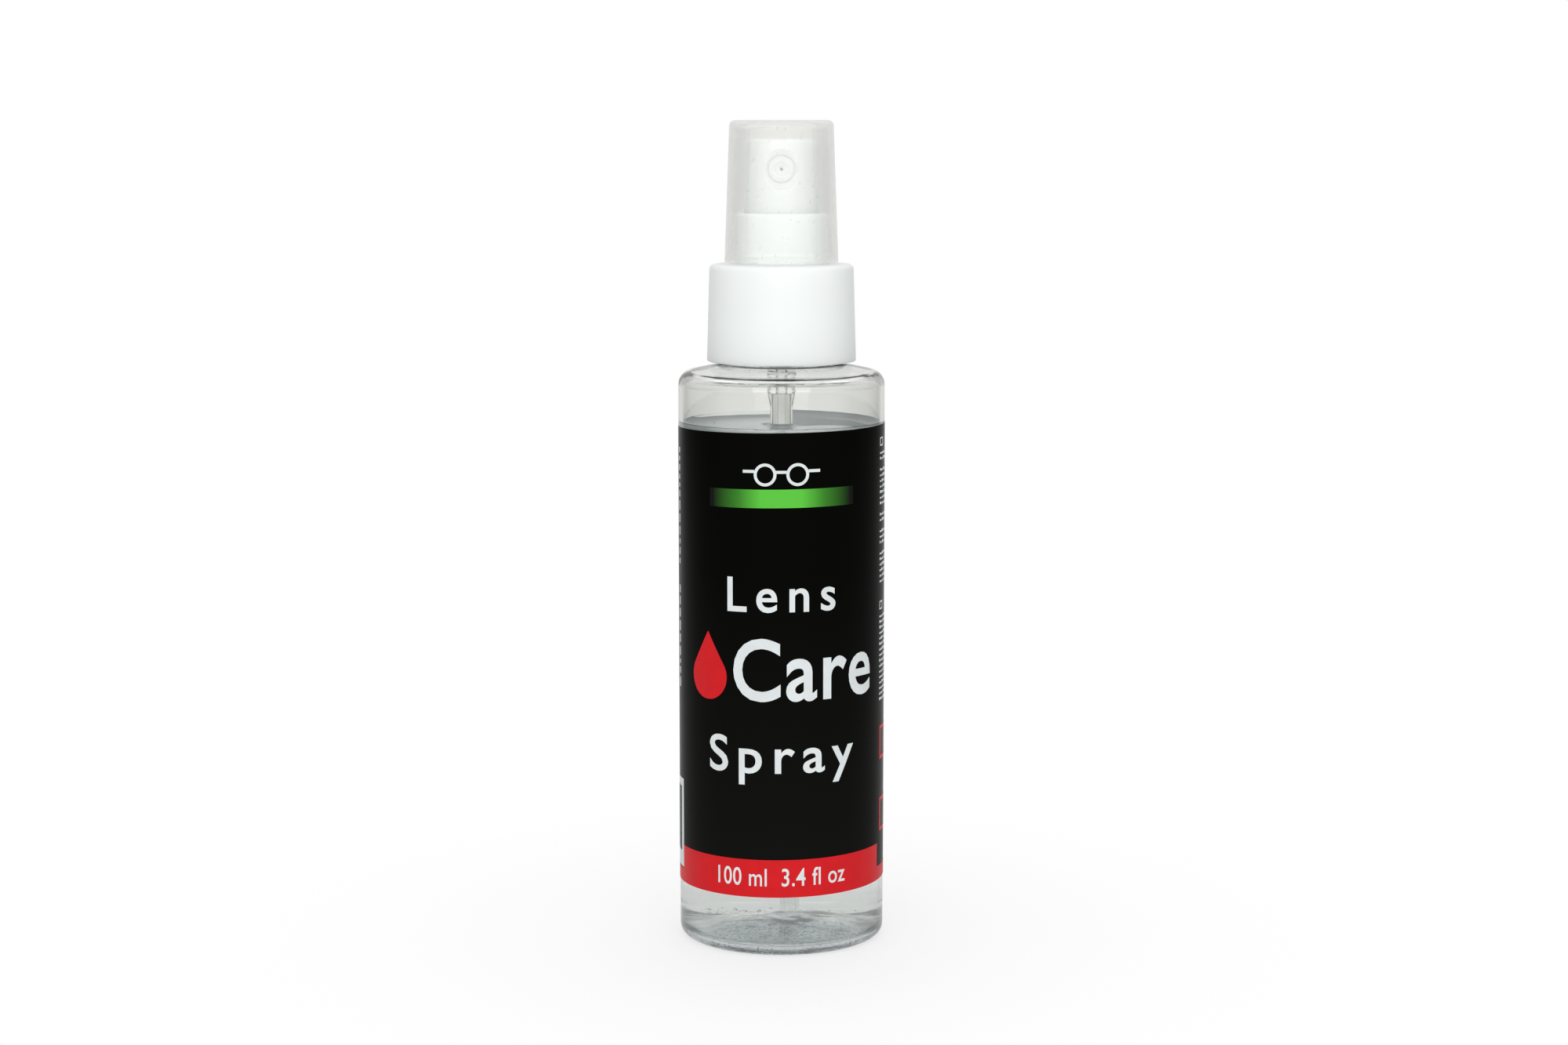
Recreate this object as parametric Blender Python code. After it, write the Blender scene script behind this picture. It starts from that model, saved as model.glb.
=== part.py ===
"""Lens cleaning spray: a clear bottle, a screw-on fine-mist pump and a push-on overcap.

All sizes below are millimetres and all heights are above the surface the bottle stands on;
MM turns them into Blender's metres. The bottle's axis is world Z and the nozzle faces -Y.
"""

import math

import bmesh
import bpy

MM = 0.001
LARGE_SIDES = 40  # facets round the bottle, label, closure and overcap
SMALL_SIDES = 20  # facets round the pump's inner pieces
FIT_GAP = 0.3  # clearance kept between pieces that touch on the real object
SHARP_ANGLE = math.radians(35)  # edges that turn by more than this are shaded crisp

# Bottle
BODY_RADIUS = 19.35
WALL = 0.8
BASE_FILLET = 2.0
BASE_RING_INNER = 14.8  # inner edge of the flat standing ring
BASE_PUSH_UP = 3.2
BASE_THICKNESS = 1.2
BASE_DOME_RADIUS = (BASE_RING_INNER**2 + BASE_PUSH_UP**2) / (2 * BASE_PUSH_UP)
SHOULDER_FILLET = 2.7
SHOULDER_CENTRE_HEIGHT = 105.18
SHOULDER_SLOPE = math.radians(12.4)
NECK_BEAD_RADIUS = 12.2
NECK_BEAD_TOP = 110.3
NECK_BEAD_BLEND = 0.9
NECK_RADIUS = 10.75
NECK_BORE = 9.1
NECK_TOP = 123.9
NECK_CHAMFER = 0.4

# Screw thread, 24-410 size
THREAD_LEAD = 3.175
THREAD_CREST = 11.95
THREAD_START_HEIGHT = 116.6
BOTTLE_THREAD_TURNS = 1.5
CLOSURE_THREAD_CREST = 11.15
CLOSURE_THREAD_TURNS = 1.0
THREAD_STEPS_PER_TURN = 40
THREAD_RUN_OUT = 1 / 12  # share of a turn over which a thread end fades away

# Label
LABEL_BOTTOM = 11.4
LABEL_TOP = 97.8
LABEL_RADIUS = 19.4
LABEL_THICKNESS = 0.12
LABEL_GAP = 0.1  # between the label and the bottle's label panel
LABEL_SEAM_FACETS = 1  # the wrap-round label stops this many facets short of a full turn

# Liquid
FILL_HEIGHT = 98.4
LIQUID_CORE = 3.2  # clear bore round the pump tail and the dip tube

# Closure with its turret
CLOSURE_BOTTOM = 109.5
CLOSURE_DECK = 127.6
CLOSURE_DECK_THICKNESS = 1.2
CLOSURE_RADIUS_BOTTOM = 13.95
CLOSURE_RADIUS_TOP = 13.45
CLOSURE_FILLET = 1.0
CLOSURE_EDGE = 0.25  # chamfer of the lower edge
CLOSURE_INNER = 12.35
TURRET_RADIUS = 8.7
TURRET_BORE = 7.75
TURRET_TOP = 137.1
TURRET_FOOT = 0.3  # bevel where the turret meets the deck
TURRET_FILLET = 0.9
SNAP_BEAD_HEIGHT = 129.35
SNAP_BEAD = 0.25
SNAP_BEAD_ROOT = 1.0  # full width at the wall
SNAP_BEAD_CREST = 0.3  # full width at the crest

# Overcap
CAP_TOP = 154.15
CAP_BOTTOM = CLOSURE_DECK + FIT_GAP
CAP_RADIUS_TOP = 9.65
CAP_RADIUS_BOTTOM = 10.62
CAP_FILLET = 1.0
CAP_WALL = 1.04
CAP_TOP_WALL = 1.15
GATE_RADIUS = 1.0
GATE_HEIGHT = 0.8

# Actuator and nozzle insert
ACTUATOR_TOP = 150.7
ACTUATOR_BOTTOM = 131.5
ACTUATOR_RADIUS_TOP = 6.35
ACTUATOR_RADIUS_SKIRT = 7.2
ACTUATOR_FILLET = 1.0
ACTUATOR_DISH = 0.5
ACTUATOR_CEILING = 148.9
ACTUATOR_WALL = 1.05
STEM_SOCKET_OUTER = 3.3
STEM_SOCKET_BOTTOM = 133.5
NOZZLE_HEIGHT = 145.2
NOZZLE_RECESS = 3.15
NOZZLE_SOCKET = 2.8
NOZZLE_RADIUS = 2.5
NOZZLE_FACE = 5.75  # distance of the insert's front face from the bottle's axis
NOZZLE_BLOCK = 3.9
NOZZLE_INSERT_LENGTH = 2.5
ORIFICE = 0.25

# Pump
FLANGE_TOP = 126.1
FLANGE_THICKNESS = 0.8
FLANGE_RADIUS = 11.3
RIM_TOP = FLANGE_TOP + 1.5
RIM_OUTER = 4.7
RIM_INNER = 3.9
BARREL_RADIUS = 4.4
CHAMBER_RADIUS = 3.3
CHAMBER_TOP = 124.3
CHAMBER_FLOOR = 110.0
BALL_CAGE_RADIUS = 1.55
BALL_SEAT_HEIGHT = 108.2
INLET_RADIUS = 0.8
INLET_TOP = 107.3
TAIL_RADIUS = 2.62
TAIL_TIP_RADIUS = 2.15
TAIL_STEP_TOP = 103.5
TAIL_STEP_BOTTOM = 101.2
TAIL_BOTTOM = 97.2
TUBE_SOCKET = 1.6
TUBE_SOCKET_TOP = 103.6
GASKET_THICKNESS = 0.8
RETAINING_RING_TOP = FLANGE_TOP + 2.5
RETAINING_RING_RADIUS = 5.5
RETAINING_RING_BORE = 2.45
STEM_RADIUS = 2.05
STEM_BORE = 1.1
STEM_TOP = 142.7
STEM_STOP_TOP = 125.2
STEM_STOP_RADIUS = 2.9
STEM_STOP_THICKNESS = 0.8
STEM_BOTTOM = 119.9
PISTON_RADIUS = 3.0
BALL_RADIUS = 1.2
BALL_HEIGHT = 108.55
SPRING_BOTTOM = CHAMBER_FLOOR + FIT_GAP
SPRING_TOP = 118.3
SPRING_MEAN_RADIUS = 2.2
SPRING_WIRE_RADIUS = 0.22
SPRING_TURNS = 7
SPRING_CLOSED_TURNS = 1
SPRING_STEPS_PER_TURN = 14
SPRING_WIRE_SIDES = 6

# Dip tube
TUBE_RADIUS = 1.35
TUBE_BORE = 0.9
TUBE_TOP = TUBE_SOCKET_TOP - FIT_GAP
TUBE_BOTTOM = 4.9
TUBE_BEND_START = 96.0
TUBE_BEND = 1.2  # sideways set of the tube's lower end


def clear_scene():
    for item in list(bpy.data.objects):
        bpy.data.objects.remove(item, do_unlink=True)


def material(name, colour, roughness, alpha=1.0, metallic=0.0, transmission=0.0):
    made = bpy.data.materials.new(name)
    made.use_nodes = True
    shader = made.node_tree.nodes["Principled BSDF"]
    shader.inputs["Base Color"].default_value = (*colour, 1.0)
    shader.inputs["Roughness"].default_value = roughness
    shader.inputs["Metallic"].default_value = metallic
    shader.inputs["Alpha"].default_value = alpha
    shader.inputs["Transmission Weight"].default_value = transmission
    made.diffuse_color = (*colour, alpha)
    return made


def arc(centre, radius, start_degrees, end_degrees, steps):
    """Points on a circle in the (radius, height) plane, both ends included."""
    turn = math.radians(end_degrees - start_degrees)
    first = math.radians(start_degrees)
    angles = [first + turn * i / steps for i in range(steps + 1)]
    return [(centre[0] + radius * math.cos(a), centre[1] + radius * math.sin(a)) for a in angles]


def mesh_object(name, bm, finish, parent=None):
    """Finish a bmesh as a smooth-shaded object whose origin is on the bottle's axis."""
    bmesh.ops.recalc_face_normals(bm, faces=bm.faces)
    mesh = bpy.data.meshes.new(name)
    bm.to_mesh(mesh)
    bm.free()
    mesh.shade_smooth()
    mesh.set_sharp_from_angle(angle=SHARP_ANGLE)
    if finish:
        mesh.materials.append(finish)
    made = bpy.data.objects.new(name, mesh)
    made.parent = parent
    bpy.context.scene.collection.objects.link(made)
    return made


def turned(name, outline, finish, parent=None, sides=LARGE_SIDES):
    """Solid of revolution; an outline that starts on the axis also ends on it."""
    bm = bmesh.new()
    verts = [bm.verts.new((r * MM, 0, z * MM)) for r, z in outline]
    edges = [bm.edges.new(pair) for pair in zip(verts, verts[1:])]
    if outline[0][0] > 0:
        edges.append(bm.edges.new((verts[-1], verts[0])))
    bmesh.ops.spin(
        bm,
        geom=verts + edges,
        cent=(0, 0, 0),
        axis=(0, 0, 1),
        angle=2 * math.pi,
        steps=sides,
        use_merge=True,
    )
    bmesh.ops.remove_doubles(bm, verts=bm.verts, dist=1e-7)
    return mesh_object(name, bm, finish, parent)


def swept(name, rings, finish, parent=None):
    """Closed solid through a list of rings, each a list of the same number of points."""
    bm = bmesh.new()
    made = [[bm.verts.new([c * MM for c in point]) for point in ring] for ring in rings]
    for near, far in zip(made, made[1:]):
        for i in range(len(near)):
            bm.faces.new((near[i - 1], near[i], far[i], far[i - 1]))
    bm.faces.new(made[0])
    bm.faces.new(made[-1])
    return mesh_object(name, bm, finish, parent)


def as_guide(item):
    item.hide_render = True
    item.display_type = "WIRE"
    return item


def boolean(target, operation, tool):
    modifier = target.modifiers.new(f"{operation.lower()}_{tool.name}", "BOOLEAN")
    modifier.operation = operation
    modifier.solver = "EXACT"
    modifier.object = as_guide(tool)


def thread_ridge(name, wall, crest, root_width, crest_width, start_height, turns):
    """Helical ridge that grows from a wall radius to a crest radius and fades at both ends."""
    outward = 1 if crest > wall else -1
    buried = wall - outward * FIT_GAP
    steps = round(turns * THREAD_STEPS_PER_TURN)
    rings = []
    for step in range(steps + 1):
        turn = step / THREAD_STEPS_PER_TURN
        height = start_height + THREAD_LEAD * turn
        fade = min(1.0, (0.01 + min(turn, turns - turn)) / THREAD_RUN_OUT)
        top = wall + (crest - wall) * fade
        section = [
            (buried, height - root_width / 2),
            (top, height - crest_width / 2),
            (top, height + crest_width / 2),
            (buried, height + root_width / 2),
        ]
        angle = 2 * math.pi * turn
        rings.append([(r * math.cos(angle), r * math.sin(angle), z) for r, z in section])
    return swept(name, rings, None)


def body_empty(name, parent=None):
    """Empty on the bottle's axis that carries the pieces of one moving body."""
    empty = bpy.data.objects.new(name, None)
    empty.parent = parent
    bpy.context.scene.collection.objects.link(empty)
    return empty


def dome(lift, outer_radius, inner_radius, steps):
    """Pushed-up base arc, raised by lift, from an outer radius in to an inner one."""
    centre = (0, BASE_PUSH_UP - BASE_DOME_RADIUS + lift)
    start = math.degrees(math.acos(outer_radius / BASE_DOME_RADIUS))
    end = math.degrees(math.acos(inner_radius / BASE_DOME_RADIUS))
    return arc(centre, BASE_DOME_RADIUS, start, end, steps)


def make_bottle(finish, parent):
    slope_end = 90 - math.degrees(SHOULDER_SLOPE)
    fillet_x = BODY_RADIUS - SHOULDER_FILLET
    shoulder = arc((fillet_x, SHOULDER_CENTRE_HEIGHT), SHOULDER_FILLET, 0, slope_end, 5)
    neck_root = shoulder[-1][1] + (shoulder[-1][0] - NECK_BEAD_RADIUS) * math.tan(SHOULDER_SLOPE)
    panel = LABEL_RADIUS - LABEL_THICKNESS - LABEL_GAP
    panel_step = BODY_RADIUS - panel
    outside = dome(0, BASE_RING_INNER, 0, 5)[::-1]
    outside += arc((BODY_RADIUS - BASE_FILLET, BASE_FILLET), BASE_FILLET, -90, 0, 4)
    outside += [
        (BODY_RADIUS, LABEL_BOTTOM - 2 * panel_step),
        (panel, LABEL_BOTTOM - panel_step),
        (panel, LABEL_TOP + panel_step),
        (BODY_RADIUS, LABEL_TOP + 2 * panel_step),
    ]
    outside += shoulder
    outside += [
        (NECK_BEAD_RADIUS, neck_root),
        (NECK_BEAD_RADIUS, NECK_BEAD_TOP),
        (NECK_RADIUS, NECK_BEAD_TOP + NECK_BEAD_BLEND),
        (NECK_RADIUS, NECK_TOP - NECK_CHAMFER),
        (NECK_RADIUS - NECK_CHAMFER, NECK_TOP),
    ]
    inner_fillet = SHOULDER_FILLET - WALL
    inner_radius = BODY_RADIUS - WALL
    heel = BASE_FILLET - WALL / 2
    inside = [
        (NECK_BORE, NECK_TOP),
        (NECK_BORE, NECK_BEAD_TOP - 0.7),
        (NECK_BORE + 1.6, neck_root - 0.6),
    ]
    inside += arc((fillet_x, SHOULDER_CENTRE_HEIGHT), inner_fillet, slope_end, 0, 4)
    inside += arc((inner_radius - heel, BASE_THICKNESS + heel), heel, 0, -90, 4)
    inside += dome(BASE_THICKNESS, BASE_RING_INNER, 0, 5)
    outline = outside + inside
    outline[0] = (0, outline[0][1])
    outline[-1] = (0, outline[-1][1])
    bottle = turned("bottle", outline, finish, parent)
    ridge = thread_ridge(
        "bottle_thread_guide",
        NECK_RADIUS,
        THREAD_CREST,
        root_width=2.3,
        crest_width=1.0,
        start_height=THREAD_START_HEIGHT,
        turns=BOTTLE_THREAD_TURNS,
    )
    boolean(bottle, "UNION", ridge)
    return bottle


def make_label(finish, parent):
    """Open sleeve whose facets line up with the bottle's, with its seam at the back."""
    inner = LABEL_RADIUS - LABEL_THICKNESS
    facet = 2 * math.pi / LARGE_SIDES
    first = LARGE_SIDES // 4 + LABEL_SEAM_FACETS
    rings = []
    for step in range(first, first + LARGE_SIDES - LABEL_SEAM_FACETS + 1):
        angle = step * facet
        section = [
            (inner, LABEL_BOTTOM),
            (LABEL_RADIUS, LABEL_BOTTOM),
            (LABEL_RADIUS, LABEL_TOP),
            (inner, LABEL_TOP),
        ]
        rings.append([(r * math.cos(angle), r * math.sin(angle), z) for r, z in section])
    return swept("label", rings, finish, parent)


def make_liquid(finish, parent):
    lift = BASE_THICKNESS + FIT_GAP
    heel = BASE_FILLET - WALL / 2 - FIT_GAP
    radius = BODY_RADIUS - WALL - FIT_GAP
    outline = dome(lift, BASE_RING_INNER, LIQUID_CORE, 4)[::-1]
    outline += arc((radius - heel, lift + heel), heel, -90, 0, 3)
    outline += [(radius, FILL_HEIGHT), (LIQUID_CORE, FILL_HEIGHT)]
    return turned("cleaning_fluid", outline, finish, parent)


def make_closure(finish, parent):
    deck_underside = CLOSURE_DECK - CLOSURE_DECK_THICKNESS
    fillet_centre = (CLOSURE_RADIUS_TOP - CLOSURE_FILLET, CLOSURE_DECK - CLOSURE_FILLET)
    rim_centre = (TURRET_RADIUS - TURRET_FILLET, TURRET_TOP - TURRET_FILLET)
    bead_radius = TURRET_RADIUS + SNAP_BEAD
    outline = [
        (CLOSURE_RADIUS_BOTTOM - CLOSURE_EDGE, CLOSURE_BOTTOM),
        (CLOSURE_RADIUS_BOTTOM, CLOSURE_BOTTOM + CLOSURE_EDGE),
    ]
    outline += arc(fillet_centre, CLOSURE_FILLET, 0, 90, 3)
    outline += [
        (TURRET_RADIUS + TURRET_FOOT, CLOSURE_DECK),
        (TURRET_RADIUS, CLOSURE_DECK + TURRET_FOOT),
        (TURRET_RADIUS, SNAP_BEAD_HEIGHT - SNAP_BEAD_ROOT / 2),
        (bead_radius, SNAP_BEAD_HEIGHT - SNAP_BEAD_CREST / 2),
        (bead_radius, SNAP_BEAD_HEIGHT + SNAP_BEAD_CREST / 2),
        (TURRET_RADIUS, SNAP_BEAD_HEIGHT + SNAP_BEAD_ROOT / 2),
    ]
    outline += arc(rim_centre, TURRET_FILLET, 0, 90, 3)
    outline += [
        (TURRET_BORE, TURRET_TOP - 0.1),
        (TURRET_BORE, deck_underside),
        (CLOSURE_INNER, deck_underside),
        (CLOSURE_INNER, NECK_BEAD_TOP + 1.1),
        (CLOSURE_INNER + FIT_GAP, NECK_BEAD_TOP + 0.6),
        (CLOSURE_INNER + FIT_GAP, CLOSURE_BOTTOM),
    ]
    closure = turned("closure", outline, finish, parent)
    ridge = thread_ridge(
        "closure_thread_guide",
        CLOSURE_INNER,
        CLOSURE_THREAD_CREST,
        root_width=1.8,
        crest_width=0.7,
        start_height=THREAD_START_HEIGHT - THREAD_LEAD / 2,
        turns=CLOSURE_THREAD_TURNS,
    )
    boolean(closure, "UNION", ridge)
    return closure


def make_overcap(finish, parent):
    taper = (CAP_RADIUS_BOTTOM - CAP_RADIUS_TOP) / (CAP_TOP - CAP_FILLET - CAP_BOTTOM)
    ceiling = CAP_TOP - CAP_TOP_WALL
    snap_groove = TURRET_RADIUS + SNAP_BEAD + FIT_GAP + 0.05

    def inner(height):
        return CAP_RADIUS_TOP - CAP_WALL + taper * (CAP_TOP - CAP_FILLET - height)

    outline = [(0, CAP_TOP)]
    outline += arc((CAP_RADIUS_TOP - CAP_FILLET, CAP_TOP - CAP_FILLET), CAP_FILLET, 90, 0, 4)
    outline += [
        (CAP_RADIUS_BOTTOM, CAP_BOTTOM),
        (inner(CAP_BOTTOM), CAP_BOTTOM),
        (snap_groove, CAP_BOTTOM + 0.4),
        (snap_groove, CAP_BOTTOM + 0.8),
        (inner(CAP_BOTTOM + 1.2), CAP_BOTTOM + 1.2),
        (inner(ceiling - 0.6), ceiling - 0.6),
        (inner(ceiling - 0.6) - 0.6, ceiling),
        (GATE_RADIUS, ceiling),
        (GATE_RADIUS, ceiling - GATE_HEIGHT),
        (0, ceiling - GATE_HEIGHT),
    ]
    return turned("overcap", outline, finish, parent)


def facing_front(item, height):
    """Turn a solid of revolution so that its axis points to the front, -Y, at a height."""
    item.rotation_euler = (math.radians(90), 0, 0)
    item.location = (0, 0, height * MM)
    return item


def make_actuator(finish, parent):
    """Finger button: a hollow cup with a stem socket and a block that holds the insert."""
    top_centre = (ACTUATOR_RADIUS_TOP - ACTUATOR_FILLET, ACTUATOR_TOP - ACTUATOR_FILLET)
    outline = [(0, ACTUATOR_TOP - ACTUATOR_DISH), (2.8, ACTUATOR_TOP - 0.7 * ACTUATOR_DISH)]
    outline += arc(top_centre, ACTUATOR_FILLET, 90, 0, 3)
    outline += [
        (ACTUATOR_RADIUS_SKIRT, ACTUATOR_BOTTOM + 0.3),
        (ACTUATOR_RADIUS_SKIRT - 0.2, ACTUATOR_BOTTOM),
        (0, ACTUATOR_BOTTOM),
    ]
    actuator = turned("actuator", outline, finish, parent)
    below = ACTUATOR_BOTTOM - 1
    socket_bore = STEM_RADIUS + FIT_GAP
    hollow = turned(
        "actuator_hollow_guide",
        [
            (0, below),
            (ACTUATOR_RADIUS_SKIRT - ACTUATOR_WALL, below),
            (ACTUATOR_RADIUS_TOP - ACTUATOR_WALL, ACTUATOR_CEILING - 0.3),
            (ACTUATOR_RADIUS_TOP - ACTUATOR_WALL - 0.3, ACTUATOR_CEILING),
            (STEM_SOCKET_OUTER, ACTUATOR_CEILING),
            (STEM_SOCKET_OUTER, STEM_SOCKET_BOTTOM),
            (socket_bore, STEM_SOCKET_BOTTOM),
            (socket_bore, STEM_TOP + FIT_GAP),
            (STEM_BORE, STEM_TOP + FIT_GAP),
            (STEM_BORE, NOZZLE_HEIGHT + 0.8),
            (0, NOZZLE_HEIGHT + 0.8),
        ],
        None,
        sides=LARGE_SIDES,
    )
    back_of_block = STEM_SOCKET_OUTER - 0.5
    block = turned(
        "nozzle_block_guide",
        [(0, back_of_block), (NOZZLE_BLOCK, back_of_block), (NOZZLE_BLOCK, 8), (0, 8)],
        None,
        sides=SMALL_SIDES,
    )
    facing_front(block, NOZZLE_HEIGHT)
    socket_floor = NOZZLE_FACE - NOZZLE_INSERT_LENGTH - FIT_GAP
    socket = turned(
        "nozzle_socket_guide",
        [
            (0, 0.4),
            (0.5, 0.4),
            (0.5, socket_floor),
            (NOZZLE_SOCKET, socket_floor),
            (NOZZLE_SOCKET, NOZZLE_FACE - 0.4),
            (NOZZLE_RECESS, NOZZLE_FACE - 0.4),
            (NOZZLE_RECESS, 8),
            (0, 8),
        ],
        None,
        sides=SMALL_SIDES,
    )
    facing_front(socket, NOZZLE_HEIGHT)
    boolean(hollow, "DIFFERENCE", block)
    boolean(actuator, "DIFFERENCE", hollow)
    boolean(actuator, "DIFFERENCE", socket)
    return actuator


def make_nozzle_insert(finish, parent):
    back = NOZZLE_FACE - NOZZLE_INSERT_LENGTH
    outline = [
        (1.5, back),
        (NOZZLE_RADIUS, back),
        (NOZZLE_RADIUS, NOZZLE_FACE - 0.2),
        (NOZZLE_RADIUS - 0.2, NOZZLE_FACE),
        (0.9, NOZZLE_FACE),
        (ORIFICE, NOZZLE_FACE - 0.4),
        (ORIFICE, NOZZLE_FACE - 0.85),
        (1.5, NOZZLE_FACE - 0.85),
    ]
    insert = turned("nozzle_insert", outline, finish, parent, sides=SMALL_SIDES)
    return facing_front(insert, NOZZLE_HEIGHT)


def make_pump_housing(finish, parent):
    flange_underside = FLANGE_TOP - FLANGE_THICKNESS
    outline = [
        (RIM_OUTER, RIM_TOP),
        (RIM_OUTER, FLANGE_TOP),
        (FLANGE_RADIUS, FLANGE_TOP),
        (FLANGE_RADIUS, flange_underside),
        (BARREL_RADIUS, flange_underside),
        (BARREL_RADIUS, CHAMBER_FLOOR - 0.7),
        (TAIL_RADIUS, CHAMBER_FLOOR - 2.1),
        (TAIL_RADIUS, TAIL_STEP_TOP),
        (TAIL_TIP_RADIUS, TAIL_STEP_BOTTOM),
        (TAIL_TIP_RADIUS, TAIL_BOTTOM),
        (TUBE_SOCKET, TAIL_BOTTOM),
        (TUBE_SOCKET, TUBE_SOCKET_TOP),
        (INLET_RADIUS, TUBE_SOCKET_TOP),
        (INLET_RADIUS, INLET_TOP),
        (BALL_CAGE_RADIUS, BALL_SEAT_HEIGHT),
        (BALL_CAGE_RADIUS, CHAMBER_FLOOR - 0.4),
        (BALL_CAGE_RADIUS + 0.35, CHAMBER_FLOOR),
        (CHAMBER_RADIUS, CHAMBER_FLOOR),
        (CHAMBER_RADIUS, CHAMBER_TOP),
        (RIM_INNER, CHAMBER_TOP + 0.7),
        (RIM_INNER, RIM_TOP),
    ]
    return turned("pump_housing", outline, finish, parent, sides=SMALL_SIDES)


def make_retaining_ring(finish, parent):
    """Ring that snaps over the housing's rim and keeps the stem in."""
    plug_bottom = STEM_STOP_TOP + FIT_GAP
    plug_radius = RIM_INNER - FIT_GAP - 0.1
    plate_underside = RIM_TOP + FIT_GAP
    skirt_inner = RIM_OUTER + FIT_GAP
    skirt_bottom = FLANGE_TOP + FIT_GAP + 0.1
    outline = [
        (RETAINING_RING_BORE, plug_bottom),
        (plug_radius, plug_bottom),
        (plug_radius, plate_underside),
        (skirt_inner, plate_underside),
        (skirt_inner, skirt_bottom),
        (RETAINING_RING_RADIUS, skirt_bottom),
        (RETAINING_RING_RADIUS, RETAINING_RING_TOP - 0.2),
        (RETAINING_RING_RADIUS - 0.2, RETAINING_RING_TOP),
        (RETAINING_RING_BORE, RETAINING_RING_TOP),
    ]
    return turned("retaining_ring", outline, finish, parent, sides=SMALL_SIDES)


def make_gasket(finish, parent):
    bottom = NECK_TOP + FIT_GAP
    inner = BARREL_RADIUS + 0.4
    outer = FLANGE_RADIUS - 0.1
    outline = [
        (inner, bottom),
        (outer, bottom),
        (outer, bottom + GASKET_THICKNESS),
        (inner, bottom + GASKET_THICKNESS),
    ]
    return turned("neck_gasket", outline, finish, parent)


def make_stem(finish, parent):
    lower_radius = STEM_RADIUS - 0.2
    outline = [
        (STEM_RADIUS - 0.2, STEM_TOP),
        (STEM_RADIUS, STEM_TOP - 0.3),
        (STEM_RADIUS, STEM_STOP_TOP),
        (STEM_STOP_RADIUS, STEM_STOP_TOP),
        (STEM_STOP_RADIUS, STEM_STOP_TOP - STEM_STOP_THICKNESS),
        (lower_radius, STEM_STOP_TOP - STEM_STOP_THICKNESS - 0.1),
        (lower_radius, STEM_BOTTOM),
        (STEM_BORE, STEM_BOTTOM),
        (STEM_BORE, STEM_TOP),
    ]
    stem = turned("stem", outline, finish, parent, sides=SMALL_SIDES)
    port = turned("stem_port_guide", [(0, -3), (0.4, -3), (0.4, 3), (0, 3)], None, sides=8)
    facing_front(port, STEM_BOTTOM + 1.4)
    boolean(stem, "DIFFERENCE", port)
    return stem


def make_stem_core(finish, parent):
    """Plug under the stem: the piston seats on its cone and the spring pushes on its rim."""
    pin_radius = STEM_BORE - FIT_GAP - 0.05
    pin_top = STEM_BOTTOM + 0.9
    seat = STEM_BOTTOM - FIT_GAP
    rim_radius = 2.5
    rim_underside = SPRING_TOP + FIT_GAP
    spigot_radius = 1.5
    spigot_bottom = SPRING_TOP - 1.1
    outline = [
        (0, pin_top),
        (pin_radius, pin_top),
        (pin_radius, seat),
        (spigot_radius + 0.1, seat),
        (rim_radius, seat - 0.4),
        (rim_radius, rim_underside),
        (spigot_radius, rim_underside),
        (spigot_radius, spigot_bottom),
        (0, spigot_bottom),
    ]
    return turned("stem_core", outline, finish, parent, sides=SMALL_SIDES)


def make_piston(finish, parent):
    """Sleeve on the stem with an upper and a lower sealing lip."""
    bottom = STEM_BOTTOM
    top = STEM_STOP_TOP - 1.6
    inner = STEM_RADIUS + 0.15
    waist = PISTON_RADIUS - 0.25
    outline = [
        (inner, bottom + 0.3),
        (inner + 0.3, bottom),
        (PISTON_RADIUS, bottom),
        (PISTON_RADIUS, bottom + 0.5),
        (waist, bottom + 0.9),
        (waist, top - 0.9),
        (PISTON_RADIUS, top - 0.5),
        (PISTON_RADIUS, top),
        (inner + 0.3, top),
        (inner, top - 0.3),
    ]
    return turned("piston", outline, finish, parent, sides=SMALL_SIDES)


def make_spring(finish, parent):
    """Compression spring with one closed turn at each end."""
    low = SPRING_BOTTOM + SPRING_WIRE_RADIUS
    high = SPRING_TOP - SPRING_WIRE_RADIUS
    closed_pitch = 2.3 * SPRING_WIRE_RADIUS
    open_turns = SPRING_TURNS - 2 * SPRING_CLOSED_TURNS
    open_pitch = (high - low - 2 * SPRING_CLOSED_TURNS * closed_pitch) / open_turns
    rings = []
    for step in range(SPRING_TURNS * SPRING_STEPS_PER_TURN + 1):
        turn = step / SPRING_STEPS_PER_TURN
        lower = min(turn, SPRING_CLOSED_TURNS)
        upper = max(0.0, turn - SPRING_TURNS + SPRING_CLOSED_TURNS)
        height = low + closed_pitch * (lower + upper) + open_pitch * (turn - lower - upper)
        angle = 2 * math.pi * turn
        ring = []
        for side in range(SPRING_WIRE_SIDES):
            around = 2 * math.pi * side / SPRING_WIRE_SIDES
            radius = SPRING_MEAN_RADIUS + SPRING_WIRE_RADIUS * math.cos(around)
            ring.append(
                (
                    radius * math.cos(angle),
                    radius * math.sin(angle),
                    height + SPRING_WIRE_RADIUS * math.sin(around),
                )
            )
        rings.append(ring)
    return swept("return_spring", rings, finish, parent)


def make_ball(finish, parent):
    bm = bmesh.new()
    bmesh.ops.create_icosphere(bm, subdivisions=2, radius=BALL_RADIUS * MM)
    ball = mesh_object("inlet_ball", bm, finish, parent)
    ball.location = (0, 0, BALL_HEIGHT * MM)
    return ball


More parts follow.
